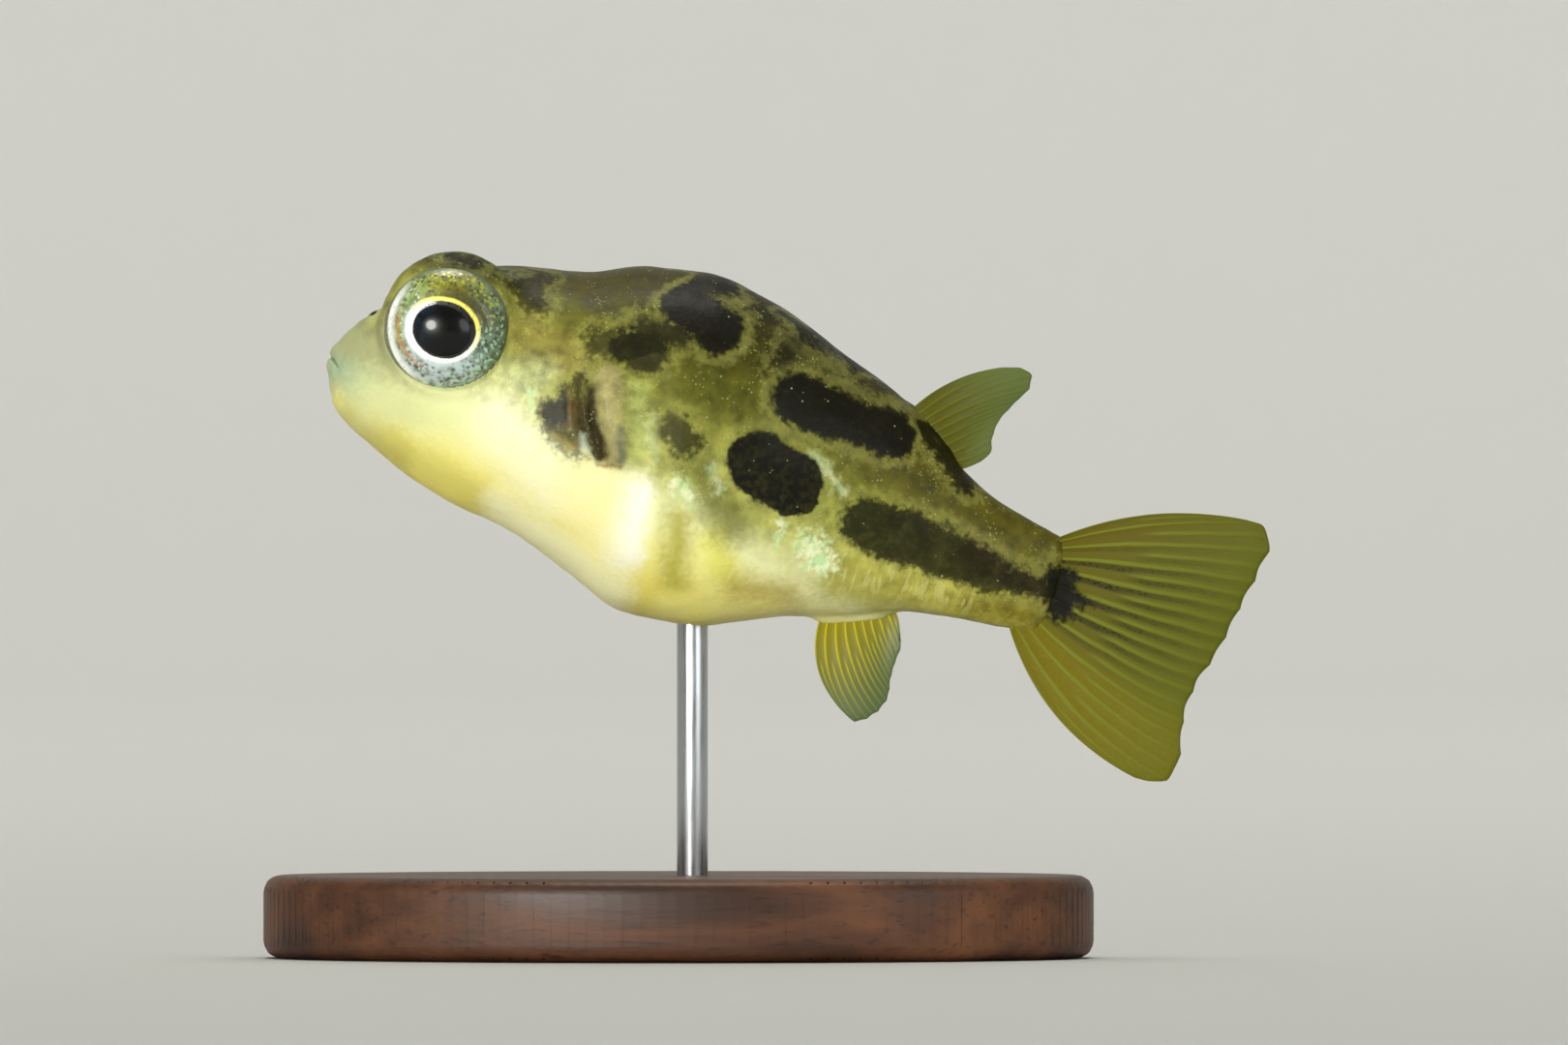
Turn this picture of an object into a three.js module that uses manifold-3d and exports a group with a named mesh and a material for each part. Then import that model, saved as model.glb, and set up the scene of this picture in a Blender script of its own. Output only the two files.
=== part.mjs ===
// A freshwater pea puffer (Carinotetraodon travancoricus) as a still, life-size model on a stand.
// Millimetres, +Z up. The origin is the centre of the stand base's underside. The fish looks
// toward -X and its left side toward -Y. It is modelled level, in a frame of its own whose X runs
// from snout to tail and whose Z points to the back, and its group is then pitched head up.

import * as THREE from 'three';
import { ParametricGeometry } from 'three/addons/geometries/ParametricGeometry.js';
import { mergeVertices } from 'three/addons/utils/BufferGeometryUtils.js';
import Module from 'manifold-3d';

// ---- Driving dimensions ---------------------------------------------------------------------

const BODY_LENGTH = 22.1;              // snout to the root of the tail fin
const SNOUT = { x: -10.22, z: 17.0 };  // where the middle of the mouth is, over the base
const HEAD_UP = 16.3;                  // pitch of the body, degrees

const RING_SIDES = 36;                 // facets around the body
const BODY_ROWS = 44;                  // facets along it
const SQUARENESS = 0.9;                // 1 is a true oval, less is squarer
const SNOUT_ROUND = 0.5;               // how far the snout takes to round off
const STALK_ROUND = 0.4;               // the same at the end of the tail stalk

const CUT = 0.1;                       // space left between two neighbouring pieces
const MOUTH_LINE = 0.43;               // height of the closed mouth
const LIPS_END = 0.55;                 // how far back the lips reach
const GILL = { x: 7.69, z: 0.93, lean: 25.4 };
const STALK_START = 18.6;

const FIN_THICKNESS = 0.55;
const FIN_ROOT = 0.8;                  // how deep a fin's outline starts inside the body

const EYE = { x: 3.07, z: 2.31, out: 2.15, radius: 1.88, depth: 1.3 };
const ORBIT = { x: 3.14, z: 2.36, out: 1.95, length: 2.12, height: 2.16, depth: 1.1 };
const PUPIL = { x: 3.01, z: 2.08, out: 3.12, length: 0.87, height: 0.8, depth: 0.35 };
const PUPIL_CUT = 0.08;
const NOSTRIL = { x: 0.9, z: 1.96, out: 0.8, radius: 0.22 };

const PECTORAL = { x: 7.85, z: 0.72, out: 3.2, rootHalf: 1.2, length: 3.2, flare: 32, fan: 16 };

const BASE = { length: 24, width: 15, height: 2.4, edge: 0.5, socket: 1.2 };
const ROD = { x: 0.4, radius: 0.45, top: 11.2, sides: 20 };

// Stations of the body: distance from the snout, height of the back, height of the belly,
// half the width, and the height at which the body is widest.
const STATIONS = [
  [0.0, 1.0, -0.1, 0.7, 0.4],
  [0.5, 1.58, -0.88, 1.25, 0.38],
  [1.0, 2.1, -1.28, 1.65, 0.4],
  [2.0, 3.15, -1.78, 2.3, 0.6],
  [3.2, 4.05, -2.25, 2.8, 0.7],
  [4.6, 4.5, -2.68, 3.2, 0.6],
  [6.2, 4.8, -2.91, 3.5, 0.3],
  [8.2, 5.52, -3.58, 3.75, 0.2],
  [10.2, 5.82, -4.26, 3.8, 0.0],
  [12.0, 5.5, -4.15, 3.6, -0.05],
  [14.6, 4.55, -3.15, 2.8, 0.2],
  [16.4, 3.85, -2.62, 2.1, 0.3],
  [18.2, 2.62, -1.95, 1.45, 0.2],
  [19.6, 1.9, -1.77, 1.05, 0.05],
  [21.0, 1.52, -1.65, 0.72, -0.05],
  [22.1, 1.34, -1.52, 0.4, -0.1],
];
const BACK = 1;
const BELLY = 2;
const HALF_WIDTH = 3;
const WIDEST_HEIGHT = 4;

// Fin outlines in the fish's side view, each from the front of its root to the back of it.
const DORSAL_EDGE = [[16.5, 4.0], [17.0, 4.57], [17.9, 5.14], [19.5, 5.76], [19.8, 5.35],
  [19.1, 4.06], [19.2, 3.0], [18.3, 2.62]];
const ANAL_EDGE = [[15.6, -2.9], [16.2, -4.23], [16.9, -4.95], [17.75, -5.5], [18.3, -4.63],
  [18.15, -3.35], [18.3, -2.6], [17.7, -2.1]];
const TAIL_UPPER_EDGE = [[21.8, 1.33], [23.1, 2.1], [25.4, 3.05], [27.1, 3.28], [27.7, 2.94]];
const TAIL_REAR_EDGE = [[27.7, 2.94], [27.35, 0.9], [27.1, -0.7], [26.7, -1.6], [26.8, -3.2], [26.88, -4.54]];
const TAIL_LOWER_EDGE = [[26.88, -4.54], [26.0, -4.76], [24.7, -4.42], [23.3, -3.68], [21.9, -2.3],
  [21.5, -1.7]];

// ---- Materials ------------------------------------------------------------------------------

const matte = (color, roughness) => new THREE.MeshStandardMaterial({ color, roughness, metalness: 0 });
const MATERIALS = {
  skin: matte(0x8e9450, 0.45),
  lip: matte(0xaeaf7d, 0.45),
  fin: matte(0x6f7428, 0.4),
  iris: new THREE.MeshStandardMaterial({ color: 0xaebd90, roughness: 0.25, metalness: 0.3 }),
  pupil: matte(0x0c0e0c, 0.15),
  wood: matte(0x3a241a, 0.4),
  steel: new THREE.MeshStandardMaterial({ color: 0xb8bcc0, roughness: 0.3, metalness: 1 }),
};

// ---- Solids ---------------------------------------------------------------------------------

const wasm = await Module();
wasm.setup();

// A closed three.js geometry as a solid that can be joined and cut. Triangles that shrink to a
// line at a pole are left out.
function solid(geometry) {
  const bare = geometry.clone();
  bare.deleteAttribute('normal');
  bare.deleteAttribute('uv');
  const merged = mergeVertices(bare, 1e-4);
  const corners = merged.getIndex().array;
  const kept = [];
  for (let i = 0; i < corners.length; i += 3) {
    const [a, b, c] = corners.slice(i, i + 3);
    if (a !== b && b !== c && c !== a) kept.push(a, b, c);
  }
  return new wasm.Manifold(new wasm.Mesh({
    numProp: 3,
    vertProperties: Float32Array.from(merged.getAttribute('position').array),
    triVerts: Uint32Array.from(kept),
  }));
}

function geometryOf(body) {
  const mesh = body.getMesh();
  const geometry = new THREE.BufferGeometry();
  geometry.setAttribute('position', new THREE.BufferAttribute(mesh.vertProperties, 3));
  geometry.setIndex(new THREE.BufferAttribute(mesh.triVerts, 1));
  geometry.computeVertexNormals();
  return geometry;
}

// A smooth curve through one column of the station table, without overshoot.
function stationValue(x, column) {
  const rows = STATIONS;
  const last = rows.length - 1;
  const clamped = THREE.MathUtils.clamp(x, rows[0][0], rows[last][0]);
  let i = 0;
  while (i < last - 1 && clamped > rows[i + 1][0]) i += 1;
  const slope = (k) => (rows[k + 1][column] - rows[k][column]) / (rows[k + 1][0] - rows[k][0]);
  const tangent = (k) => {
    if (k === 0) return slope(0);
    if (k === last) return slope(last - 1);
    const [before, after] = [slope(k - 1), slope(k)];
    return before * after <= 0 ? 0 : (2 * before * after) / (before + after);
  };
  const width = rows[i + 1][0] - rows[i][0];
  const t = (clamped - rows[i][0]) / width;
  const rise = t * t * (3 - 2 * t);
  return rows[i][column] * (1 - rise) + rows[i + 1][column] * rise
    + width * tangent(i) * t * (1 - t) * (1 - t) - width * tangent(i + 1) * t * t * (1 - t);
}

// How far the body has opened out of its rounded ends at x, from 0 at a tip to 1.
function endRounding(x, start, end) {
  const fromSnout = Math.min(1, Math.max(0, (x - start) / SNOUT_ROUND));
  const fromTail = Math.min(1, Math.max(0, (end - x) / STALK_ROUND));
  return Math.sqrt(1 - (1 - fromSnout) ** 2) * Math.sqrt(1 - (1 - fromTail) ** 2);
}

const squared = (value) => Math.sign(value) * Math.abs(value) ** SQUARENESS;

// The closed body, made larger all round by grow.
function bodyGeometry(grow = 0) {
  const start = -grow;
  const end = BODY_LENGTH + grow;
  const surface = (u, v, target) => {
    const eased = v - 0.5 * Math.sin(2 * Math.PI * v) / (2 * Math.PI);
    const x = start + eased * (end - start);
    const opened = endRounding(x, start, end);
    const angle = -2 * Math.PI * u;
    const middle = stationValue(x, WIDEST_HEIGHT);
    const up = Math.cos(angle);
    const reach = up > 0
      ? stationValue(x, BACK) + grow - middle
      : middle - stationValue(x, BELLY) + grow;
    const half = stationValue(x, HALF_WIDTH) + grow;
    target.set(x, opened * half * squared(Math.sin(angle)), middle + opened * reach * squared(up));
  };
  return new ParametricGeometry(surface, RING_SIDES, BODY_ROWS);
}

function ellipsoid(x, y, z, across, out, high, sides, rings) {
  const geometry = new THREE.SphereGeometry(1, sides, rings);
  geometry.rotateX(Math.PI / 2);
  geometry.scale(across, out, high);
  geometry.translate(x, y, z);
  return geometry;
}

// A large block that fills everything behind a plane across the body.
function behind(x, z, lean, shift = 0) {
  const size = 60;
  const geometry = new THREE.BoxGeometry(size, size, size);
  geometry.translate(size / 2 + shift, 0, 0);
  geometry.rotateY(-THREE.MathUtils.degToRad(lean));
  geometry.translate(x, 0, z);
  return solid(geometry);
}

function above(z, shift = 0) {
  const size = 60;
  const geometry = new THREE.BoxGeometry(size, size, size);
  geometry.translate(0, 0, z + shift + size / 2);
  return solid(geometry);
}

// A flat fin in the midline plane, from an outline in the side view.
function uprightFin(shape) {
  const geometry = new THREE.ExtrudeGeometry(shape, {
    depth: FIN_THICKNESS, bevelEnabled: false, curveSegments: 4,
  });
  geometry.translate(0, 0, -FIN_THICKNESS / 2);
  geometry.rotateX(Math.PI / 2);
  return solid(geometry);
}

const points = (pairs) => pairs.map(([x, z]) => new THREE.Vector2(x, z));

// A fin whose free edge is one smooth line. Its root is sunk into the body toward (x, z).
function finOutline(edge, inside) {
  const shape = new THREE.Shape();
  shape.moveTo(...inside[0]);
  shape.lineTo(...edge[0]);
  shape.splineThru(points(edge.slice(1)));
  shape.lineTo(...inside[1]);
  return shape;
}

function tailOutline() {
  const shape = new THREE.Shape();
  shape.moveTo(BODY_LENGTH - FIN_ROOT, 0.9);
  shape.lineTo(...TAIL_UPPER_EDGE[0]);
  shape.splineThru(points(TAIL_UPPER_EDGE.slice(1)));
  shape.splineThru(points(TAIL_REAR_EDGE.slice(1)));
  shape.splineThru(points(TAIL_LOWER_EDGE.slice(1)));
  shape.lineTo(BODY_LENGTH - FIN_ROOT, -1.2);
  return shape;
}

// ---- Sub-parts ------------------------------------------------------------------------------

const LEFT = -1;
const RIGHT = 1;

const orbit = (side) => solid(ellipsoid(
  ORBIT.x, side * ORBIT.out, ORBIT.z, ORBIT.length, ORBIT.depth, ORBIT.height, 24, 12));

const nostril = (side) => solid(ellipsoid(
  NOSTRIL.x, side * NOSTRIL.out, NOSTRIL.z, NOSTRIL.radius, NOSTRIL.radius, NOSTRIL.radius, 8, 6));

const eyeball = (side, grow) => solid(ellipsoid(
  EYE.x, side * EYE.out, EYE.z, EYE.radius + grow, EYE.depth + grow, EYE.radius + grow, 24, 12));

const pupilSolid = (side, grow) => solid(ellipsoid(
  PUPIL.x, side * PUPIL.out, PUPIL.z, PUPIL.length + grow, PUPIL.depth + grow,
  PUPIL.height + grow, 16, 8));

// The rod stands upright under the pitched fish, so its hole is turned into the fish's frame.
function rodSolid(radius, bottom, top) {
  const geometry = new THREE.CylinderGeometry(radius, radius, top - bottom, ROD.sides);
  geometry.rotateX(Math.PI / 2);
  geometry.translate(ROD.x, 0, (top + bottom) / 2);
  return geometry;
}

function rodHoleInFish() {
  const hole = rodSolid(ROD.radius + CUT, BASE.height, ROD.top + CUT);
  hole.translate(-SNOUT.x, 0, -SNOUT.z);
  hole.rotateY(-THREE.MathUtils.degToRad(HEAD_UP));
  return solid(hole);
}

// A fan of rays on a slanted root behind the gill opening, flared away from the flank.
function pectoralFin(side) {
  const { rootHalf, length, flare, fan } = PECTORAL;
  const spread = THREE.MathUtils.degToRad(fan);
  const shape = new THREE.Shape();
  shape.moveTo(-FIN_ROOT, -rootHalf);
  shape.lineTo(0.3, -rootHalf);
  const tips = [];
  const rays = 8;
  for (let i = 0; i <= rays; i += 1) {
    const t = (2 * i) / rays - 1;
    const reach = length * (1 - 0.16 * t * t);
    tips.push(new THREE.Vector2(reach * Math.cos(spread * t), rootHalf * t + reach * Math.sin(spread * t)));
  }
  shape.lineTo(tips[0].x, tips[0].y);
  shape.splineThru(tips.slice(1));
  shape.lineTo(0.3, rootHalf);
  shape.lineTo(-FIN_ROOT, rootHalf);
  const geometry = new THREE.ExtrudeGeometry(shape, {
    depth: FIN_THICKNESS, bevelEnabled: false, curveSegments: 2,
  });
  geometry.translate(0, 0, -FIN_THICKNESS / 2);
  geometry.rotateX(Math.PI / 2);
  geometry.rotateZ(side * THREE.MathUtils.degToRad(flare));
  geometry.rotateY(-THREE.MathUtils.degToRad(GILL.lean));
  geometry.translate(PECTORAL.x, side * PECTORAL.out, PECTORAL.z);
  return solid(geometry);
}

const whole = solid(bodyGeometry());
const grown = solid(bodyGeometry(CUT));

const half = CUT / 2;
const lipZone = whole.subtract(behind(LIPS_END, 0, 0, -half));
const upperLip = lipZone.intersect(above(MOUTH_LINE, half));
const lowerLip = lipZone.subtract(above(MOUTH_LINE, -half));

const head = whole
  .subtract(behind(GILL.x, GILL.z, GILL.lean, -half))
  .add(orbit(LEFT)).add(orbit(RIGHT))
  .intersect(behind(LIPS_END, 0, 0, half))
  .add(nostril(LEFT)).add(nostril(RIGHT))
  .subtract(eyeball(LEFT, CUT)).subtract(eyeball(RIGHT, CUT));

const trunk = whole
  .intersect(behind(GILL.x, GILL.z, GILL.lean, half))
  .subtract(behind(STALK_START, 0, 0, -half))
  .subtract(rodHoleInFish());

const tailStalk = whole.intersect(behind(STALK_START, 0, 0, half));

const dorsalFin = uprightFin(finOutline(DORSAL_EDGE, [[16.2, 3.0], [17.6, 2.0]])).subtract(grown);
const analFin = uprightFin(finOutline(ANAL_EDGE, [[15.8, -1.9], [16.8, -1.4]])).subtract(grown);
const tailFin = uprightFin(tailOutline()).subtract(grown);

// ---- Scene graph ----------------------------------------------------------------------------

function named(name, geometry, material) {
  const mesh = new THREE.Mesh(geometry, material);
  mesh.name = name;
  return mesh;
}

const fish = new THREE.Group();
fish.position.set(SNOUT.x, 0, SNOUT.z);
fish.rotation.y = THREE.MathUtils.degToRad(HEAD_UP);

fish.add(named('upper_lip', geometryOf(upperLip), MATERIALS.lip));
fish.add(named('lower_lip', geometryOf(lowerLip), MATERIALS.lip));
fish.add(named('head', geometryOf(head), MATERIALS.skin));
fish.add(named('trunk', geometryOf(trunk), MATERIALS.skin));
fish.add(named('tail_stalk', geometryOf(tailStalk), MATERIALS.skin));
fish.add(named('dorsal_fin', geometryOf(dorsalFin), MATERIALS.fin));
fish.add(named('anal_fin', geometryOf(analFin), MATERIALS.fin));
fish.add(named('tail_fin', geometryOf(tailFin), MATERIALS.fin));

for (const [word, side] of [['left', LEFT], ['right', RIGHT]]) {
  const eye = eyeball(side, 0).subtract(pupilSolid(side, PUPIL_CUT));
  fish.add(named(`${word}_eye`, geometryOf(eye), MATERIALS.iris));
  fish.add(named(`${word}_pupil`, geometryOf(pupilSolid(side, 0)), MATERIALS.pupil));
  fish.add(named(`${word}_pectoral_fin`, geometryOf(pectoralFin(side).subtract(grown)), MATERIALS.fin));
}

function standBase() {
  const { length, width, height, edge } = BASE;
  const radius = width / 2;
  const profile = points([[0, 0], [radius, 0], [radius, height - edge], [radius - edge * 0.3, height - edge * 0.3],
    [radius - edge, height], [0, height]]);
  const geometry = new THREE.LatheGeometry(profile, 56);
  geometry.rotateX(Math.PI / 2);
  geometry.scale(length / width, 1, 1);
  const socket = rodSolid(ROD.radius + CUT, height - BASE.socket - CUT, height + 1);
  return solid(geometry).subtract(solid(socket));
}

const part = new THREE.Group();
part.add(fish);
part.add(named('stand_base', geometryOf(standBase()), MATERIALS.wood));
part.add(named('stand_rod', rodSolid(ROD.radius, BASE.height - BASE.socket, ROD.top), MATERIALS.steel));

export default part;
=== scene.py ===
"""A life-size pea puffer, head up as it swims, held over an oval wooden stand by a short rod.

The fish is shaped level, in millimetres, in a frame of its own: X runs from the snout to the
tail, Z points to the back and its left side is toward -Y. place_fish() then pitches it head up
and sets it over the stand, in metres.
"""

import math

import bpy
import numpy as np
from mathutils import Matrix, Vector, noise


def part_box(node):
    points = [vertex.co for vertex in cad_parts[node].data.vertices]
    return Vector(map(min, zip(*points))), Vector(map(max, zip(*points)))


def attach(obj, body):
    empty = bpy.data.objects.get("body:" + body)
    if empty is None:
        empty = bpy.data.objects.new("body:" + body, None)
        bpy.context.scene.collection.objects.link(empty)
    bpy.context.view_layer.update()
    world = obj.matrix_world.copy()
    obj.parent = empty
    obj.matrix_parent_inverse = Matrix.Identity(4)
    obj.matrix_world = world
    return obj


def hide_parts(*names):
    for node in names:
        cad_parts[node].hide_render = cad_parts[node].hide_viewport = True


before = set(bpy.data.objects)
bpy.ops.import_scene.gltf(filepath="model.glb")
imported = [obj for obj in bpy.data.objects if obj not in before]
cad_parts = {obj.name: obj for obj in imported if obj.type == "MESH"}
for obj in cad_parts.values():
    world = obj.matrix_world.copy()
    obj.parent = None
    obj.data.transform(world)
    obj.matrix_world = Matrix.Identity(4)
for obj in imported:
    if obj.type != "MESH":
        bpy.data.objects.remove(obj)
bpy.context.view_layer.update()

# ---- Sizes of the fish, in millimetres --------------------------------------------------------

MM = 0.001
BODY_LENGTH = 22.1
SNOUT = (-10.22, 0.0, 17.0)
HEAD_UP = math.radians(16.3)
SQUARENESS = 0.9
SNOUT_ROUND = 0.5
STALK_ROUND = 0.4

# Distance from the snout, height of the back, height of the belly, half the width, widest height
STATIONS = np.array([
    [0.0, 1.0, -0.1, 0.7, 0.4],
    [0.5, 1.58, -0.88, 1.25, 0.38],
    [1.0, 2.1, -1.28, 1.65, 0.4],
    [2.0, 3.15, -1.78, 2.3, 0.6],
    [3.2, 4.05, -2.25, 2.8, 0.7],
    [4.6, 4.5, -2.68, 3.2, 0.6],
    [6.2, 4.8, -2.91, 3.5, 0.3],
    [8.2, 5.52, -3.58, 3.75, 0.2],
    [10.2, 5.82, -4.26, 3.8, 0.0],
    [12.0, 5.5, -4.15, 3.6, -0.05],
    [14.6, 4.55, -3.15, 2.8, 0.2],
    [16.4, 3.85, -2.62, 2.1, 0.3],
    [18.2, 2.62, -1.95, 1.45, 0.2],
    [19.6, 1.9, -1.77, 1.05, 0.05],
    [21.0, 1.52, -1.62, 0.66, -0.05],
    [22.1, 1.3, -1.36, 0.22, -0.1],
])
BACK, BELLY, HALF_WIDTH, WIDEST = 1, 2, 3, 4

EYE = (3.13, 2.15, 2.17)            # centre: along, out, up
EYE_RADIUS = 1.9
EYE_DEPTH = 1.28
ORBIT = np.array([3.17, 1.95, 2.33])
ORBIT_SIZE = np.array([2.08, 1.1, 2.1])
ORBIT_BLEND = 0.45
LID = 1.8                           # radius of the skin's opening round the eye
LID_DROOP = 0.06                    # how much further it covers the eye's top
PUPIL = (3.02, 3.1, 2.08)
PUPIL_SIZE = (0.91, 0.33, 0.81)
LENS_FULLNESS = 1.15                # the power that its height off the middle is raised to

MOUTH = 0.43
NOSTRIL = np.array([0.9, 0.8, 1.96])
GILL_TOP = np.array([7.24, 1.8])
GILL_END = np.array([8.3, -0.25])
LOBE_TOP = np.array([7.98, 2.1])    # the fleshy root of the pectoral fin
LOBE_END = np.array([8.76, -0.1])
FOLD_TOP = np.array([10.7, -1.3])   # the soft fold behind the chest
FOLD_END = np.array([11.25, -3.2])

LEFT, RIGHT = -1, 1


# ---- Working habits ---------------------------------------------------------------------------

def edit_mode():
    bpy.ops.object.mode_set(mode="EDIT")


def object_mode():
    bpy.ops.object.mode_set(mode="OBJECT")


def fix_place():
    """Makes the place, turn and size of what is selected part of its mesh."""
    bpy.ops.object.transform_apply(location=True, rotation=True, scale=True)


def draw_out(*way):
    """Extrudes what is selected and moves it this way."""
    bpy.ops.mesh.extrude_region_move(TRANSFORM_OT_translate={"value": way})


def start_clean():
    """Nothing stays selected, so an operator acts only on what is added next."""
    if bpy.context.object and bpy.context.object.mode != "OBJECT":
        object_mode()
    bpy.ops.object.select_all(action="DESELECT")


def take(piece):
    start_clean()
    piece.select_set(True)
    bpy.context.view_layer.objects.active = piece


def named(name):
    piece = bpy.context.object
    piece.name = name
    piece.data.name = name
    return piece


def apply_modifier(piece, kind, **settings):
    take(piece)
    modifier = piece.modifiers.new(kind.title(), kind)
    for key, value in settings.items():
        setattr(modifier, key, value)
    bpy.ops.object.modifier_apply(modifier=modifier.name)


def points_of(piece):
    points = np.empty(len(piece.data.vertices) * 3)
    piece.data.vertices.foreach_get("co", points)
    return points.reshape(-1, 3)


def move_points(piece, points):
    piece.data.vertices.foreach_set("co", points.ravel())
    piece.data.update()


def normals_of(piece):
    normals = np.empty(len(piece.data.vertices) * 3)
    piece.data.vertex_normals.foreach_get("vector", normals)
    return normals.reshape(-1, 3)


def face_outwards(piece):
    take(piece)
    edit_mode()
    bpy.ops.mesh.select_all(action="SELECT")
    bpy.ops.mesh.remove_doubles(threshold=1e-5)
    bpy.ops.mesh.normals_make_consistent(inside=False)
    object_mode()


def place_fish(piece):
    """Takes a piece from the fish's own frame in millimetres to its place over the stand."""
    take(piece)
    piece.matrix_world = (
        Matrix.Translation(Vector(SNOUT) * MM) @ Matrix.Rotation(HEAD_UP, 4, "Y") @ Matrix.Scale(MM, 4))
    fix_place()
    bpy.ops.object.shade_smooth()


def finish_piece(piece, material, slot, *nodes):
    piece.data.materials.clear()
    piece.data.materials.append(material)
    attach(piece, "root")
    if nodes:
        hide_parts(*nodes)


def bell(distance, width):
    """1 at no distance, falling softly to 0 past the width."""
    return np.exp(-((distance / width) ** 2))


def step(value, low, high):
    """Rises smoothly from 0 at low to 1 at high, or falls if low is the higher."""
    t = np.clip((value - low) / (high - low), 0, 1)
    return t * t * (3 - 2 * t)


# ---- Skin -------------------------------------------------------------------------------------

CAGE_SIDES = 24
CAGE_RINGS = 36
CAGE_FINER = 3
CAGE_BUNCHING = 0.97                # how far the rings crowd toward both ends
FAR_OUT = 7.0                       # further from the middle than any of the skin
MARCH_STEPS = 60
MARCH_SHARE = 0.9                   # how much of the distance left each step covers
BARE_SNOUT = 0.75                   # length of the snout that the eye bulges leave alone


def along(x, column):
    """One column of the station table at x, as a smooth curve that doesn't overshoot."""
    place, value = STATIONS[:, 0], STATIONS[:, column]
    x = np.clip(x, place[0], place[-1])
    i = np.clip(np.searchsorted(place, x, side="right") - 1, 0, len(place) - 2)
    slope = np.diff(value) / np.diff(place)
    before, after = slope[:-1], slope[1:]
    both = before + after
    even = np.where(before * after > 0, 2 * before * after / np.where(both == 0, 1, both), 0)
    tangent = np.concatenate([slope[:1], even, slope[-1:]])
    width = place[i + 1] - place[i]
    t = (x - place[i]) / width
    rise = t * t * (3 - 2 * t)
    lean = width * t * (1 - t) * (tangent[i] * (1 - t) - tangent[i + 1] * t)
    return value[i] * (1 - rise) + value[i + 1] * rise + lean


def opened(x):
    """How far the body has opened out of its rounded ends, from 0 at a tip to 1."""
    snout = np.clip(x / SNOUT_ROUND, 0, 1)
    stalk = np.clip((BODY_LENGTH - x) / STALK_ROUND, 0, 1)
    return np.sqrt(1 - (1 - snout) ** 2) * np.sqrt(1 - (1 - stalk) ** 2)


def body_radius(x, angle):
    middle = along(x, WIDEST)
    high = np.where(np.cos(angle) > 0, along(x, BACK) - middle, middle - along(x, BELLY))
    power = 2 / SQUARENESS
    across = np.abs(np.sin(angle) / along(x, HALF_WIDTH)) ** power
    upright = np.abs(np.cos(angle) / high) ** power
    return (across + upright) ** (-1 / power)


def orbit_distance(points):
    """Roughly how far points lie outside the bulge that carries an eye, on either side."""
    offset = np.stack([points[:, 0], np.abs(points[:, 1]), points[:, 2]], axis=1) - ORBIT
    near = np.linalg.norm(offset / ORBIT_SIZE, axis=1)
    nearer = np.linalg.norm(offset / ORBIT_SIZE ** 2, axis=1)
    return near * (near - 1) / np.maximum(nearer, 1e-6)


def skin_points(x, angle):
    """The body's surface with the eye bulges melted into it, found inwards along rays."""
    middle = along(x, WIDEST)
    body = opened(x) * body_radius(x, angle)
    reach = np.full_like(x, FAR_OUT)
    for _ in range(MARCH_STEPS):
        points = np.stack([x, reach * np.sin(angle), middle + reach * np.cos(angle)], axis=1)
        from_body = reach - body
        from_orbit = orbit_distance(points)
        share = np.clip(0.5 + 0.5 * (from_orbit - from_body) / ORBIT_BLEND, 0, 1)
        joined = from_orbit * (1 - share) + from_body * share - ORBIT_BLEND * share * (1 - share)
        reach = np.maximum(reach - MARCH_SHARE * joined, 0)
    reach = np.where(x < BARE_SNOUT, body, reach)
    return np.stack([x, reach * np.sin(angle), middle + reach * np.cos(angle)], axis=1)


def body_cage():
    """A tube of rings drawn out from the snout to the tail stalk and closed at both ends."""
    steps = np.linspace(0, 1, CAGE_RINGS + 1)[1:-1]
    places = BODY_LENGTH * (steps - CAGE_BUNCHING * np.sin(2 * math.pi * steps) / (2 * math.pi))
    size = opened(places)
    wide = size * along(places, HALF_WIDTH)
    high = size * (along(places, BACK) - along(places, BELLY)) / 2
    level = (along(places, BACK) + along(places, BELLY)) / 2

    start_clean()
    bpy.ops.mesh.primitive_circle_add(
        vertices=CAGE_SIDES, radius=1, location=(places[0], 0, level[0]), rotation=(0, math.pi / 2, 0))
    fix_place()
    skin = named("skin")
    edit_mode()
    bpy.ops.mesh.select_all(action="SELECT")
    bpy.ops.transform.resize(value=(1, wide[0], high[0]), center_override=(places[0], 0, level[0]))
    for i in range(1, len(places)):
        draw_out(places[i] - places[i - 1], 0, level[i] - level[i - 1])
        bpy.ops.transform.resize(
            value=(1, wide[i] / wide[i - 1], high[i] / high[i - 1]),
            center_override=(places[i], 0, level[i]))
    draw_out(BODY_LENGTH - places[-1], 0, 0)
    bpy.ops.mesh.merge(type="CENTER")
    object_mode()

    for vertex in skin.data.vertices:
        vertex.select = bool(abs(vertex.co.x - places[0]) < 1e-4)
    edit_mode()
    draw_out(-places[0], 0, 0)
    bpy.ops.mesh.merge(type="CENTER")
    object_mode()
    apply_modifier(skin, "SUBSURF", levels=CAGE_FINER, render_levels=CAGE_FINER)
    face_outwards(skin)
    return skin


def settle_on_body(skin):
    """Moves the fine surface out to the body's true section at every place."""
    points = points_of(skin)
    x = points[:, 0] - points[:, 0].min()
    x *= BODY_LENGTH / x.max()
    angle = np.arctan2(points[:, 1], points[:, 2] - along(x, WIDEST))
    move_points(skin, skin_points(x, angle))


def line_place(side_view, start, end):
    """Share of the way along a line in the side view, and the distance behind it."""
    way = end - start
    length = np.linalg.norm(way)
    way = way / length
    offset = side_view - start
    return offset @ way / length, offset @ np.array([-way[1], way[0]])


def eye_frame(points):
    """Distance from the eye's axis in the side view, and how far up that lies, -1 to 1."""
    ahead = points[:, 0] - EYE[0]
    up = points[:, 2] - EYE[2]
    distance = np.hypot(ahead, up)
    return distance, up / np.maximum(distance, 1e-6)


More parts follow.
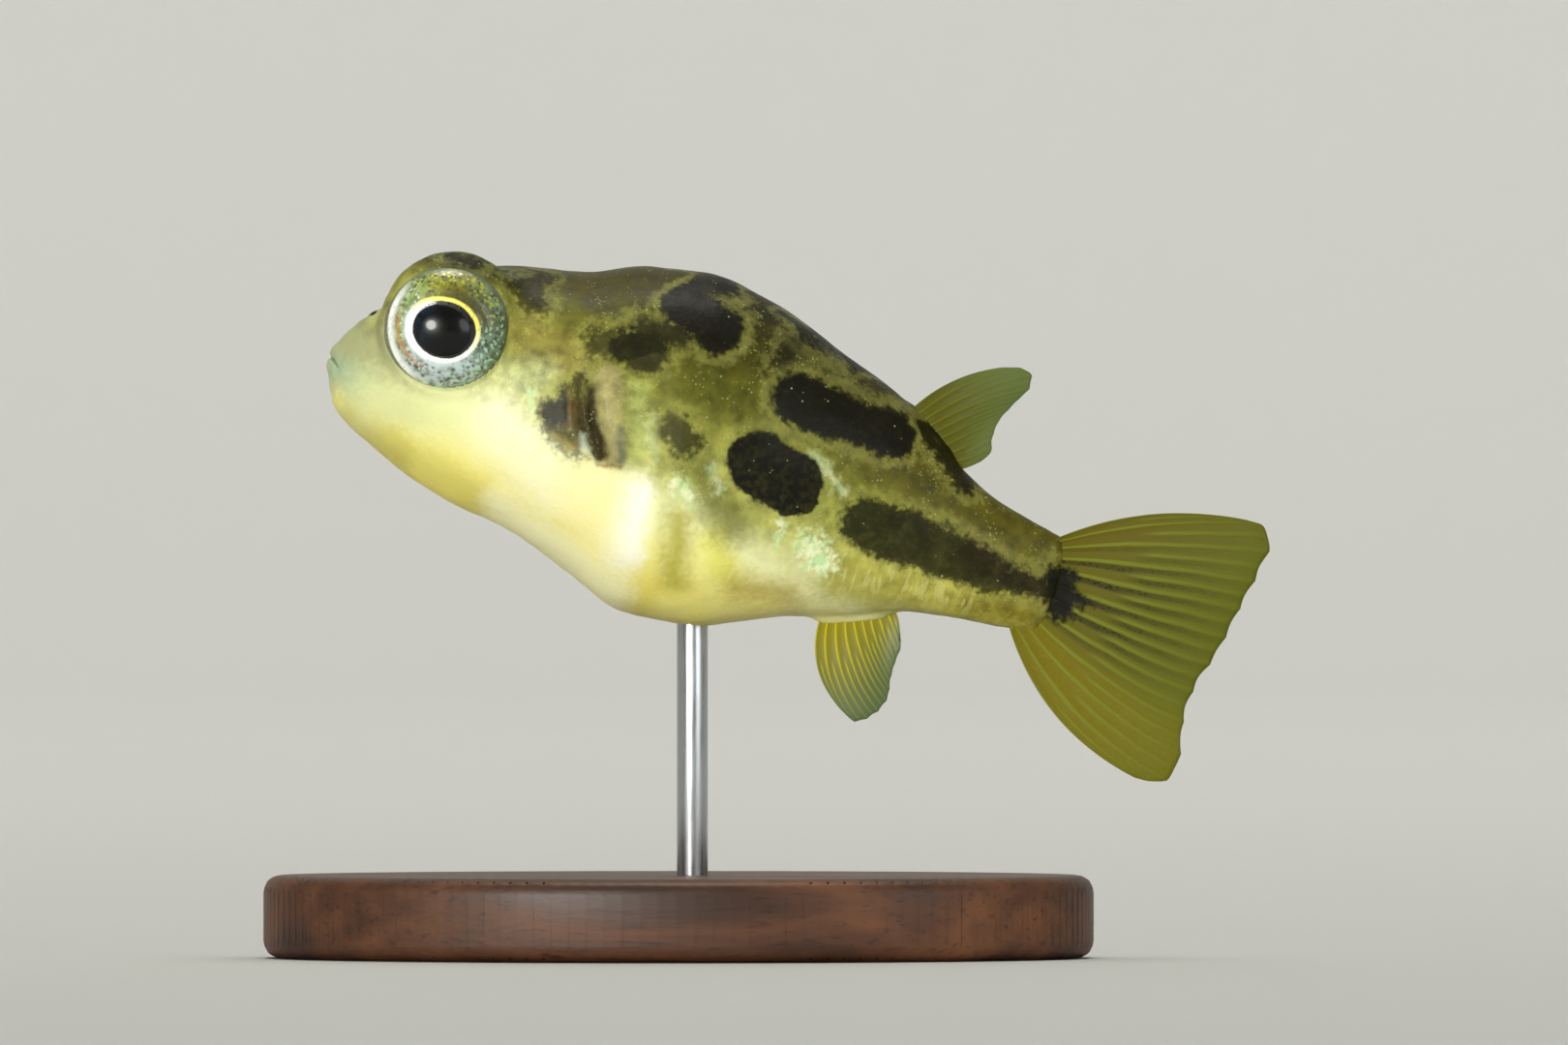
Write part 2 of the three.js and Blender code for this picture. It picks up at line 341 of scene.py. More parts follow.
def lid_radius(upness):
    return LID - LID_DROOP * step(upness, -0.1, 1.0)


def carve(skin):
    """Lips, nostrils, eyelids, gill openings, fin roots and soft folds, all along the normals."""
    points = points_of(skin)
    x, out, up = points[:, 0], np.abs(points[:, 1]), points[:, 2]
    side_view = points[:, [0, 2]]
    raise_by = np.zeros(len(points))

    slit = up - (MOUTH - 0.16 * (out / 0.8) ** 2)
    lips = step(x, 0.72, 0.4) * step(out, 1.05, 0.8)
    raise_by += lips * (0.05 * bell(np.abs(slit) - 0.26, 0.18) - 0.17 * bell(slit, 0.035))
    from_mouth = np.sqrt((x - 0.1) ** 2 + out ** 2 + (up - MOUTH) ** 2)
    raise_by -= 0.028 * bell(from_mouth - 1.12, 0.13) * step(x, 1.6, 1.0)

    from_nostril = np.linalg.norm(np.stack([x, out, up], axis=1) - NOSTRIL, axis=1)
    raise_by += 0.22 * bell(from_nostril, 0.24) - 0.28 * bell(from_nostril, 0.11)

    eye_distance, upness = eye_frame(points)
    lid = lid_radius(upness)
    beside_eye = step(out, 1.2, 1.7)
    raise_by += beside_eye * 0.055 * bell(eye_distance - lid - 0.08, 0.08)
    raise_by -= beside_eye * 0.05 * bell(eye_distance - lid - 0.36, 0.14)

    flank = step(out, 1.2, 2.2)
    share, behind = line_place(side_view, GILL_TOP, GILL_END)
    bow = 0.16 * (1 - (2 * share - 1) ** 2)
    gill = flank * step(share, -0.14, 0.06) * step(share, 1.12, 0.96)
    raise_by += gill * (0.05 * bell(behind + bow + 0.3, 0.22) - 0.26 * bell(behind + bow, 0.11))

    share, behind = line_place(side_view, LOBE_TOP, LOBE_END)
    lobe = 1 - (np.abs(behind - 0.1 * share) / 0.42) ** 2.5 - np.abs((share - 0.5) / 0.6) ** 4
    raise_by += flank * 0.2 * np.clip(lobe, 0, 1) ** 0.6

    middle = bell(out, 0.26)
    raise_by += 0.12 * middle * step(x, 16.2, 16.8) * step(x, 18.5, 17.9) * step(up, 1.5, 2.2)
    raise_by += 0.2 * middle * step(x, 15.3, 15.9) * step(x, 18.0, 17.2) * step(up, -1.2, -1.9)

    share, behind = line_place(side_view, FOLD_TOP, FOLD_END)
    raise_by -= 0.08 * bell(behind, 0.22) * step(share, -0.3, 0.2) * step(share, 1.2, 0.8)

    raise_by += np.array([
        0.035 * noise.noise(Vector(p) * 0.8) + 0.014 * noise.noise(Vector(p) * 2.6) for p in points])
    points = points + normals_of(skin) * raise_by[:, None]

    eyeball = EYE[1] + EYE_DEPTH * np.sqrt(np.clip(1 - (eye_distance / EYE_RADIUS) ** 2, 0, 1))
    sunk = np.minimum(np.abs(points[:, 1]), eyeball - 0.32)
    inside = beside_eye * step(eye_distance, lid, lid - 0.16)
    points[:, 1] = np.sign(points[:, 1]) * (np.abs(points[:, 1]) * (1 - inside) + sunk * inside)
    move_points(skin, points)


def make_skin(material):
    skin = body_cage()
    settle_on_body(skin)
    carve(skin)
    place_fish(skin)
    finish_piece(skin, material, "skin", "upper_lip", "lower_lip", "head", "trunk", "tail_stalk")


# ---- Eyes -------------------------------------------------------------------------------------

def ball(name, segments, rings):
    """A ball of radius 1 whose poles point to the fish's sides."""
    start_clean()
    bpy.ops.mesh.primitive_uv_sphere_add(
        segments=segments, ring_count=rings, radius=1, rotation=(math.pi / 2, 0, 0))
    fix_place()
    return named(name)


def make_eye(side, word, iris, black):
    """An eyeball with a shaped iris, and a lens that stands a little out of its middle."""
    eye = ball(f"{word}_eyeball", 96, 72)
    points = points_of(eye) * (EYE_RADIUS, EYE_DEPTH, EYE_RADIUS) + (EYE[0], side * EYE[1], EYE[2])
    from_pupil = np.hypot(
        (points[:, 0] - PUPIL[0]) / PUPIL_SIZE[0], (points[:, 2] - PUPIL[2]) / PUPIL_SIZE[2])
    outer = step(side * points[:, 1], EYE[1], EYE[1] + 0.4)
    dished = -0.1 * step(from_pupil, 1.6, 1.0) + 0.035 * bell(from_pupil - 1.12, 0.12)
    points[:, 1] += side * outer * dished
    move_points(eye, points)
    place_fish(eye)
    finish_piece(eye, iris, "iris", f"{word}_eye")

    lens = ball(f"{word}_lens", 64, 40)
    points = points_of(lens)
    points[:, 1] = np.sign(points[:, 1]) * np.abs(points[:, 1]) ** LENS_FULLNESS
    move_points(lens, points * PUPIL_SIZE + (PUPIL[0], side * PUPIL[1], PUPIL[2]))
    place_fish(lens)
    finish_piece(lens, black, "pupil", f"{word}_pupil")


# ---- Fins -------------------------------------------------------------------------------------

TAIL_RAYS, DORSAL_RAYS, ANAL_RAYS, PECTORAL_RAYS = 11, 9, 9, 11
FIN_STEPS = 40
FIN_FINER = 8                       # columns for each ray
MEMBRANE = 0.05
RAY_HEIGHT = 0.05
ROOT_SWELL = 0.08                   # share of a fin's length over which it thickens to its root


def between(corners, share):
    """Points at the given shares of the way along a smooth line through the corners."""
    corners = np.asarray(corners, float)
    spans = np.linalg.norm(np.diff(corners, axis=0), axis=1)
    length = np.concatenate([[0], np.cumsum(spans)])
    length /= length[-1]
    tangent = np.gradient(corners, length, axis=0)
    i = np.clip(np.searchsorted(length, share, side="right") - 1, 0, len(corners) - 2)
    width = (length[i + 1] - length[i])[:, None]
    t = (share[:, None] - length[i][:, None]) / width
    return ((1 + 2 * t) * (1 - t) ** 2 * corners[i] + t * (1 - t) ** 2 * width * tangent[i]
            + t * t * (3 - 2 * t) * corners[i + 1] - t * t * (1 - t) * width * tangent[i + 1])


def make_fin(name, root, rim, rays, bow, sway=0.0, root_thickness=0.4):
    """A membrane on rays. root and rim are its edges in the side view, from the leading ray on.

    bow is how far the leading and the last ray curve aside, and sway how far the tip leans
    out of the middle plane. Each ray is a low ridge that forks where the fin widens.
    """
    start_clean()
    bpy.ops.mesh.primitive_grid_add(
        x_subdivisions=rays * FIN_FINER, y_subdivisions=FIN_STEPS, size=1)
    fin = named(name)
    points = points_of(fin)
    across = points[:, 0] + 0.5
    outward = points[:, 1] + 0.5
    if not fin.data.uv_layers:
        fin.data.uv_layers.new()
    fin_map = fin.data.uv_layers[0]
    fin_map.name = "Rays"
    for loop in fin.data.loops:
        fin_map.data[loop.index].uv = (across[loop.vertex_index], outward[loop.vertex_index])

    start = between(root, across)
    end = between(rim, across)
    chord = end - start
    length = np.linalg.norm(chord, axis=1, keepdims=True)
    aside = np.stack([-chord[:, 1], chord[:, 0]], axis=1) / length
    curve = bow[0] * (1 - across) + bow[1] * across
    notch = np.abs(np.sin(math.pi * rays * across))
    t = (outward * (1 - 0.012 * notch * step(outward, 0.6, 1.0)))[:, None]
    flat = start + chord * t + aside * (curve[:, None] * 4 * t * (1 - t))
    ripple = 0.05 * np.sin(2 * math.pi * (1.5 * across + 0.4 * outward)) * outward
    lean = sway * outward ** 2 + ripple
    move_points(fin, np.stack([flat[:, 0], lean, flat[:, 1]], axis=1))

    apply_modifier(fin, "SOLIDIFY", thickness=1.0, offset=0.0)
    points = points_of(fin)
    count = len(points) // 2
    middle = (points[:count] + points[count:]) / 2
    reach = points[:count] - middle
    reach /= np.linalg.norm(reach, axis=1, keepdims=True)
    fork = step(outward, 0.42, 0.6)
    single = np.cos(2 * math.pi * rays * across) * 0.5 + 0.5
    forked = np.cos(4 * math.pi * rays * across) * 0.5 + 0.5
    ridge = (single ** 2 * (1 - fork) + forked ** 2 * fork * 0.6) * (1 - 0.8 * outward)
    half = MEMBRANE / 2 + RAY_HEIGHT / 2 * ridge
    half += root_thickness / 2 * np.exp(-outward / ROOT_SWELL)
    half *= 1 - 0.7 * step(outward, 0.94, 1.0)
    swell = reach * half[:, None]
    move_points(fin, np.concatenate([middle + swell, middle - swell]))
    return fin


TAIL_ROOT = [(21.7, 1.3), (21.3, 0.7), (21.2, -0.1), (21.15, -0.9), (21.1, -1.62)]
TAIL_RIM = [(26.3, 3.26), (26.9, 3.34), (27.4, 3.27), (27.64, 2.95), (27.58, 2.0), (27.36, 0.9),
            (27.22, 0.1), (27.05, -0.7), (26.76, -1.6), (26.68, -2.64), (26.84, -3.5),
            (26.9, -4.1), (26.76, -4.5), (26.35, -4.72), (25.8, -4.74)]
DORSAL_ROOT = [(16.6, 3.7), (17.3, 3.2), (18.15, 2.3)]
DORSAL_RIM = [(18.9, 5.62), (19.3, 5.72), (19.62, 5.66), (19.72, 5.35), (19.42, 4.7), (19.12, 4.05),
              (19.08, 3.5), (19.14, 3.1), (19.0, 2.92)]
ANAL_ROOT = [(15.75, -2.6), (16.6, -2.25), (17.55, -1.8)]
ANAL_RIM = [(17.2, -5.3), (17.55, -5.46), (17.95, -5.2), (18.27, -4.6), (18.2, -3.9),
            (18.2, -3.4), (18.22, -3.0), (18.1, -2.75)]


def make_middle_fins(membrane):
    tail = make_fin(
        "tail_membrane", TAIL_ROOT, TAIL_RIM, TAIL_RAYS, (0.36, -0.6), root_thickness=0.42)
    dorsal = make_fin(
        "dorsal_membrane", DORSAL_ROOT, DORSAL_RIM, DORSAL_RAYS, (0.26, -0.1), sway=0.1)
    anal = make_fin("anal_membrane", ANAL_ROOT, ANAL_RIM, ANAL_RAYS, (-0.5, 0.1), sway=-0.06)
    for fin, node in ((tail, "tail_fin"), (dorsal, "dorsal_fin"), (anal, "anal_fin")):
        place_fish(fin)
        finish_piece(fin, membrane[node], "fin", node)


PECTORAL_ROOT = (7.98, 3.42, 0.9)
PECTORAL_HALF = 1.05
PECTORAL_LENGTH = 2.7
PECTORAL_FLARE = math.radians(32)
PECTORAL_LEAN = math.radians(22)
PECTORAL_FAN = math.radians(17)


def make_pectoral(side, word, membrane):
    spread = np.linspace(1, -1, 9)
    root = [(0.0, PECTORAL_HALF * s) for s in spread]
    length = PECTORAL_LENGTH * (1 - 0.1 * spread ** 2 - 0.1 * spread ** 8)
    rim = [(far * math.cos(PECTORAL_FAN * s), PECTORAL_HALF * s + far * math.sin(PECTORAL_FAN * s))
           for far, s in zip(length, spread)]
    fin = make_fin(f"{word}_pectoral_membrane", root, rim, PECTORAL_RAYS, (0.1, -0.1),
                   sway=-0.3 * side, root_thickness=0.16)
    take(fin)
    fin.matrix_world = (
        Matrix.Translation((PECTORAL_ROOT[0], side * PECTORAL_ROOT[1], PECTORAL_ROOT[2]))
        @ Matrix.Rotation(-PECTORAL_LEAN, 4, "Y") @ Matrix.Rotation(side * PECTORAL_FLARE, 4, "Z"))
    fix_place()
    place_fish(fin)
    finish_piece(fin, membrane, "fin", f"{word}_pectoral_fin")


# ---- Stand ------------------------------------------------------------------------------------

BASE_SIDES = 144
BASE_BEVEL = 0.5 * MM
BASE_INSET = 0.4 * MM
ROD_SIDES = 48
ROD_BEVEL = 0.08 * MM
SMOOTH_BELOW = math.radians(40)


def bevel(width, segments):
    """Rounds the selected edges."""
    bpy.ops.mesh.select_mode(type="EDGE")
    bpy.ops.mesh.bevel(offset=width, segments=segments, affect="EDGES")


def make_stand(wood, steel):
    """An oval base with all its edges bevelled, and a rod with bevelled ends."""
    low, high = (Vector(corner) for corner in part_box("stand_base"))
    start_clean()
    bpy.ops.mesh.primitive_cylinder_add(
        vertices=BASE_SIDES, radius=0.5, depth=1, location=(low + high) / 2, scale=high - low)
    fix_place()
    base = named("oval_base")
    edit_mode()
    bevel(BASE_BEVEL, 5)
    bpy.ops.mesh.select_mode(type="FACE")
    object_mode()
    for face in base.data.polygons:
        face.select = face.normal.z > 0.99 or face.normal.z < -0.99
    edit_mode()
    bpy.ops.mesh.inset(thickness=BASE_INSET)
    object_mode()
    bpy.ops.object.shade_smooth_by_angle(angle=SMOOTH_BELOW)
    finish_piece(base, wood, "stand_wood", "stand_base")

    low, high = (Vector(corner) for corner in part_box("stand_rod"))
    radius = (high.x - low.x) / 2
    start_clean()
    bpy.ops.mesh.primitive_cylinder_add(
        vertices=ROD_SIDES, radius=radius, depth=high.z - low.z, location=(low + high) / 2)
    fix_place()
    rod = named("steel_rod")
    edit_mode()
    bpy.ops.mesh.select_all(action="DESELECT")
    object_mode()
    for edge in rod.data.edges:
        ends = [rod.data.vertices[i].co.z for i in edge.vertices]
        edge.select = abs(ends[0] - ends[1]) < 1e-7
    edit_mode()
    bevel(ROD_BEVEL, 3)
    object_mode()
    bpy.ops.object.shade_smooth_by_angle(angle=SMOOTH_BELOW)
    finish_piece(rod, steel, "stand_steel", "stand_rod")


# ---- Materials --------------------------------------------------------------------------------

def paint(red, green, blue):
    """A screen colour from 0 to 255 as the linear colour that Blender mixes."""
    def linear(value):
        value /= 255
        return value / 12.92 if value <= 0.04045 else ((value + 0.055) / 1.055) ** 2.4
    return (linear(red), linear(green), linear(blue), 1.0)


class Nodes:
    """Adds nodes to a material or a group, each with its settings and what feeds it."""

    def __init__(self, tree):
        self.tree = tree

    def feed(self, socket, value):
        if isinstance(value, bpy.types.NodeSocket):
            self.tree.links.new(value, socket)
        else:
            socket.default_value = value

    def add(self, kind, inputs=None, **settings):
        node = self.tree.nodes.new(f"ShaderNode{kind}")
        for key, value in settings.items():
            setattr(node, key, value)
        for key, value in (inputs or {}).items():
            self.feed(node.inputs[key], value)
        return node

    def maths(self, operation, *values):
        node = self.add("Math", operation=operation)
        for socket, value in zip(node.inputs, values):
            self.feed(socket, value)
        return node.outputs[0]

    def times(self, *values):
        result = values[0]
        for value in values[1:]:
            result = self.maths("MULTIPLY", result, value)
        return result

    def minus(self, value, taken):
        return self.maths("SUBTRACT", value, taken)

    def scaled(self, value, factor, added):
        return self.maths("MULTIPLY_ADD", value, factor, added)

    def most(self, value, other):
        return self.maths("MAXIMUM", value, other)

    def held(self, value):
        """The value kept between 0 and 1."""
        return self.maths("MINIMUM", self.most(value, 0.0), 1.0)

    def vectors(self, operation, *values, output=0):
        node = self.add("VectorMath", operation=operation)
        for socket, value in zip(node.inputs, values):
            self.feed(socket, value)
        return node.outputs[output]

    def mix(self, amount, below, above, blend="MIX"):
        node = self.add("Mix", data_type="RGBA", blend_type=blend)
        self.feed(node.inputs[0], amount)
        self.feed(node.inputs[6], below)
        self.feed(node.inputs[7], above)
        return node.outputs[2]

    def lay(self, colour, tint, *masks):
        """The colour with this paint over it, as thickly as the masks' product says."""
        return self.mix(self.times(*masks), colour, paint(*tint))

    def split(self, vector):
        return self.add("SeparateXYZ", {"Vector": vector}).outputs

    def rise(self, value, low, high, to_low=0.0, to_high=1.0):
        """Rises smoothly as the value goes from low to high, and falls if low is the higher."""
        node = self.add("MapRange", {
            "Value": value, "From Min": low, "From Max": high, "To Min": to_low, "To Max": to_high},
            interpolation_type="SMOOTHSTEP", clamp=False)
        return node.outputs["Result"]

    def noise(self, vector, scale, detail=2.0, output="Fac"):
        node = self.add("TexNoise", {"Vector": vector, "Scale": scale, "Detail": detail})
        return node.outputs[output]

    def shaken(self, vector, scale, amount, detail=2.0):
        """The vector moved about by a noise, by up to half the amount each way."""
        parts = self.add("SeparateColor", {"Color": self.noise(vector, scale, detail, "Color")}).outputs
        swing = self.add("CombineXYZ", {"X": parts["Red"], "Y": parts["Green"], "Z": parts["Blue"]})
        centred = self.vectors("SUBTRACT", swing.outputs["Vector"], (0.5, 0.5, 0.5))
        return self.vectors("MULTIPLY_ADD", centred, amount, vector)

    def cells(self, vector, scale, output="Distance"):
        node = self.add("TexVoronoi", {"Vector": vector, "Scale": scale})
        return node.outputs[output]

    def ramp(self, value, stops):
        node = self.add("ValToRGB", {"Fac": value})
        elements = node.color_ramp.elements
        while len(elements) < len(stops):
            elements.new(0.5)
        for element, (place, colour) in zip(elements, stops):
            element.position = place
            element.color = colour
        return node.outputs["Color"]

    def group(self, tree, inputs):
        node = self.add("Group", node_tree=tree)
        for key, value in inputs.items():
            self.feed(node.inputs[key], value)
        return node.outputs


def new_group(name, inputs, outputs):
    tree = bpy.data.node_groups.new(name, "ShaderNodeTree")
    for label, kind in inputs:
        tree.interface.new_socket(label, in_out="INPUT", socket_type=f"NodeSocket{kind}")
    for label, kind in outputs:
        tree.interface.new_socket(label, in_out="OUTPUT", socket_type=f"NodeSocket{kind}")
    given = tree.nodes.new("NodeGroupInput").outputs
    result = tree.nodes.new("NodeGroupOutput").inputs
    return tree, Nodes(tree), given, result


def new_material(name):
    material = bpy.data.materials.new(name)
    material.use_nodes = True
    material.node_tree.nodes.clear()
    nodes = Nodes(material.node_tree)
    shader = nodes.add("BsdfPrincipled")
    output = nodes.add("OutputMaterial")
    nodes.feed(output.inputs["Surface"], shader.outputs["BSDF"])
    return material, nodes, shader


def finish(nodes, shader, colour, roughness, coat=0.0, coat_roughness=0.1, specular=0.5, metallic=0.0):
    """Colour and gloss. What is the same all over a piece stands on the shader's own sockets."""
    for label, value in (
            ("Base Color", colour), ("Roughness", roughness), ("Metallic", metallic),
            ("Coat Weight", coat), ("Coat Roughness", coat_roughness), ("Specular IOR Level", specular)):
        nodes.feed(shader.inputs[label], value)


def relief(nodes, shader, height, strength, distance):
    bump = nodes.add("Bump", {"Strength": strength, "Distance": distance, "Height": height})
    nodes.feed(shader.inputs["Normal"], bump.outputs["Normal"])


def fish_place(nodes):
    """Millimetres in the fish's own frame."""
    coordinates = nodes.add("TexCoord").outputs["Object"]
    mapping = nodes.add("Mapping", {
        "Vector": coordinates, "Location": tuple(Vector(SNOUT) * MM),
        "Rotation": (0, HEAD_UP, 0), "Scale": (MM, MM, MM)}, vector_type="TEXTURE")
    return mapping.outputs["Vector"]


def stroke_group():
    """The mask of one stroke of pigment, from Start to Start plus Way, with a soft edge.

    Ragged is a noise from 0 to 1 that breaks up the edge, the more so the softer it is.
    """
    tree, nodes, given, result = new_group(
        "pigment stroke",
        [("Place", "Vector"), ("Ragged", "Float"), ("Start", "Vector"), ("Way", "Vector"),
         ("Start Radius", "Float"), ("End Radius", "Float"), ("Softness", "Float")],
        [("Mask", "Float"), ("Rim", "Float")])
    flat = nodes.vectors("MULTIPLY", given["Place"], (1, 0, 1))
    offset = nodes.vectors("SUBTRACT", flat, given["Start"])
    reach = nodes.vectors("DOT_PRODUCT", offset, given["Way"], output="Value")
    length = nodes.vectors("DOT_PRODUCT", given["Way"], given["Way"], output="Value")
    share = nodes.held(nodes.maths("DIVIDE", reach, length))
    node = nodes.add("VectorMath", operation="SCALE")
    nodes.feed(node.inputs[0], given["Way"])
    nodes.feed(node.inputs["Scale"], share)
    away = nodes.vectors("DISTANCE", offset, node.outputs[0], output="Value")
    change = nodes.minus(given["End Radius"], given["Start Radius"])
    radius = nodes.scaled(change, share, given["Start Radius"])
    beyond = nodes.minus(away, radius)
    soft = given["Softness"]
    broken = nodes.times(nodes.minus(given["Ragged"], 0.5), 2.2)
    beyond = nodes.scaled(broken, soft, beyond)
    nodes.feed(result["Mask"], nodes.rise(nodes.maths("DIVIDE", beyond, soft), 0.5, -0.5))
    rim = nodes.maths("DIVIDE", nodes.maths("ABSOLUTE", nodes.minus(beyond, 0.2)), 0.3)
    nodes.feed(result["Rim"], nodes.rise(rim, 1.0, 0.0))
    return tree


def skin_grain_group():
    """Fine grain of the skin: dark pigment cells, pale flecks, mottling and a height for bump."""
    tree, nodes, given, result = new_group(
        "skin grain", [("Place", "Vector")],
        [("Dots", "Float"), ("Flecks", "Float"), ("Glints", "Float"), ("Mottle", "Float"),
         ("Height", "Float")])
    place = given["Place"]
    shaken = nodes.shaken(place, 9.0, (1.0, 1.0, 1.0))
    sparse = nodes.rise(nodes.noise(place, 1.7, 3.0), 0.38, 0.62)
    nodes.feed(result["Dots"], nodes.times(nodes.rise(nodes.cells(shaken, 7.5), 0.36, 0.16), sparse))
    chosen = nodes.rise(nodes.noise(place, 2.1, 3.0), 0.46, 0.62)
    nodes.feed(result["Flecks"], nodes.times(nodes.rise(nodes.cells(place, 9.0), 0.32, 0.14), chosen))
    rare = nodes.rise(nodes.noise(place, 3.6, 1.0), 0.64, 0.72)
    nodes.feed(result["Glints"], nodes.times(nodes.rise(nodes.cells(place, 6.0), 0.22, 0.1), rare))
    nodes.feed(result["Mottle"], nodes.noise(place, 2.4, 5.0))
    pores = nodes.times(nodes.cells(place, 9.0), 0.7)
    nodes.feed(result["Height"], nodes.maths("ADD", pores, nodes.noise(place, 16.0, 3.0)))
    return tree


STRENGTH, TINT = 5, 6               # their places in the rows of strokes below

# Strokes of dark pigment: start (along, up), end, radius at either end, softness, strength
DARK = (16, 14, 4)
MARKS = {
    "behind the eye": ((4.75, 4.15), (5.35, 3.5), 0.42, 0.34, 0.5, 0.75),
    "over the eye": ((2.5, 4.13), (3.35, 4.2), 0.1, 0.13, 0.22, 0.8),
    "saddle": ((9.39, 4.82), (10.6, 4.27), 0.62, 0.67, 0.26, 1.0),
    "saddle top": ((9.5, 5.35), (10.99, 5.75), 0.5, 0.3, 0.3, 0.95),
    "saddle bridge": ((9.5, 3.85), (8.5, 3.58), 0.38, 0.42, 0.36, 0.88),
    "shoulder": ((8.1, 3.12), (8.8, 3.1), 0.5, 0.62, 0.34, 0.95),
    "shoulder front": ((7.35, 2.95), (8.1, 3.05), 0.4, 0.5, 0.5, 0.76),
    "small spot": ((10.2, 1.22), (10.62, 0.9), 0.42, 0.38, 0.45, 0.8),
    "back": ((12.96, 5.1), (14.83, 4.5), 0.42, 0.32, 0.3, 0.95),
    "back branch": ((12.85, 4.75), (12.65, 3.8), 0.34, 0.27, 0.5, 0.72),
    "upper bar": ((13.36, 3.0), (16.28, 2.8), 0.73, 0.67, 0.24, 1.0),
    "round spot": ((12.81, 0.94), (13.91, 0.6), 0.93, 0.9, 0.12, 1.0),
    "lower bar": ((16.18, 0.12), (17.6, 0.07), 0.7, 0.8, 0.24, 0.92),
    "lower bar rear": ((18.2, 0.0), (20.2, -0.24), 0.74, 0.56, 0.3, 0.9),
    "lower bar end": ((20.85, -0.2), (21.8, -0.25), 0.42, 0.26, 0.3, 0.9),
    "tail spot": ((22.08, 0.12), (22.4, -0.62), 0.48, 0.43, 0.35, 1.0),
    "tail spot point": ((22.6, -0.25), (23.3, -0.3), 0.3, 0.04, 0.35, 1.0),
    "fin root": ((17.6, 3.2), (18.7, 2.1), 0.4, 0.3, 0.35, 0.9),
    "gill cover top": ((6.8, 0.75), (7.2, 1.7), 0.42, 0.22, 0.36, 0.93),
    "gill cover": ((6.3, 0.66), (7.4, 0.85), 0.14, 0.5, 0.36, 0.92),
    "gill cover foot": ((6.7, 0.35), (7.6, -0.12), 0.3, 0.3, 0.5, 0.84),
}
SPOTS_ON_TAIL = ("lower bar end", "tail spot", "tail spot point")

# Washes of colour, laid in this order: start, end, radii, softness, strength, tint
WASHES = {
    "snout": ((0.2, 1.0), (2.2, 0.6), 1.2, 1.3, 1.4, 0.92, (160, 163, 118)),
    "lips": ((0.3, 0.1), (1.2, -0.2), 0.4, 0.5, 0.8, 0.85, (160, 182, 150)),
    "chin": ((1.0, -1.0), (2.8, -1.8), 0.3, 0.35, 0.9, 0.75, (176, 166, 82)),
    "eyelid": ((1.8, 4.0), (4.3, 4.15), 0.36, 0.3, 0.36, 0.95, (50, 52, 22)),
    "brow": ((0.9, 2.0), (1.6, 2.9), 0.5, 0.8, 0.9, 0.5, (136, 134, 66)),
    "under the eye": ((1.6, -0.4), (4.6, 0.1), 0.8, 0.8, 1.4, 0.8, (226, 230, 166)),
    # cheek: the cheek's own pale colour with a painted highlight over it
    "cheek": ((5.3, -0.1), (7.4, -1.2), 0.85, 0.9, 1.3, 0.95, (246, 245, 200)),
    "temple": ((5.4, 2.6), (6.8, 2.2), 0.7, 0.7, 1.2, 0.7, (138, 128, 62)),
    "cheek top": ((5.1, 1.3), (6.0, 1.5), 0.4, 0.4, 1.2, 0.7, (204, 212, 156)),
    "gill cover": ((6.45, 0.7), (7.35, 0.62), 0.2, 0.78, 0.4, 0.88, (92, 84, 34)),
    "behind the lobe": ((8.9, 1.9), (9.4, 0.4), 0.3, 0.36, 0.8, 0.7, (180, 190, 108)),
    "nape": ((5.2, 4.6), (9.0, 5.4), 0.8, 0.8, 1.0, 0.7, (64, 58, 8)),
    "throat": ((2.4, -1.4), (5.2, -2.2), 0.3, 0.4, 0.9, 0.7, (218, 208, 108)),
    "breast": ((6.0, -2.4), (9.8, -3.8), 0.5, 0.6, 1.0, 0.9, (255, 253, 200)),
    "chest edge": ((8.2, -1.2), (9.4, -2.6), 0.9, 0.7, 1.2, 0.8, (250, 242, 176)),
    # chest: the chest's own pale colour with a painted highlight over it; the next row, whiter and
    # narrower, is painted highlight only
    "chest": ((9.65, -0.9), (9.8, -2.8), 0.45, 0.4, 1.0, 0.9, (255, 254, 222)),
    "chest highlight": ((9.9, -0.75), (10.05, -2.6), 0.2, 0.24, 0.7, 0.85, (255, 255, 240)),
    # fold: painted shade in the soft fold behind the chest
    "fold": ((11.05, -1.3), (11.4, -3.0), 0.36, 0.36, 0.9, 0.85, (170, 164, 60)),
    "gold": ((12.2, -1.6), (12.7, -2.3), 0.45, 0.45, 0.8, 0.8, (230, 228, 104)),
    "belly": ((11.4, -3.9), (14.2, -3.1), 0.4, 0.4, 0.9, 0.7, (255, 248, 150)),
    "orange": ((13.2, -2.7), (14.7, -2.4), 0.3, 0.3, 1.0, 0.66, (166, 142, 26)),
    "flank shade": ((10.9, 0.6), (12.5, -0.9), 0.6, 0.66, 1.2, 0.75, (100, 102, 38)),
    "between the spots": ((10.6, 2.6), (12.8, 2.4), 0.6, 0.5, 1.2, 0.7, (78, 78, 22)),
    "behind the upper bar": ((16.9, 2.75), (18.0, 2.5), 0.45, 0.36, 0.7, 0.85, (80, 70, 26)),
    "under the tail": ((16.0, -1.5), (21.5, -1.2), 0.8, 0.5, 0.9, 0.85, (170, 165, 72)),
    "tail top": ((16.5, 2.4), (21.5, 1.0), 1.1, 0.7, 1.0, 0.8, (82, 76, 18)),
    "tail root": ((19.7, -1.1), (22.0, -1.2), 0.3, 0.4, 1.0, 0.9, (116, 106, 26)),
    "behind the lower bar": ((19.6, 0.2), (21.6, -0.3), 0.5, 0.5, 0.7, 0.8, (84, 72, 30)),
    "tail end": ((22.4, 1.2), (22.3, -0.6), 0.4, 0.3, 0.9, 0.9, (92, 86, 14)),
}

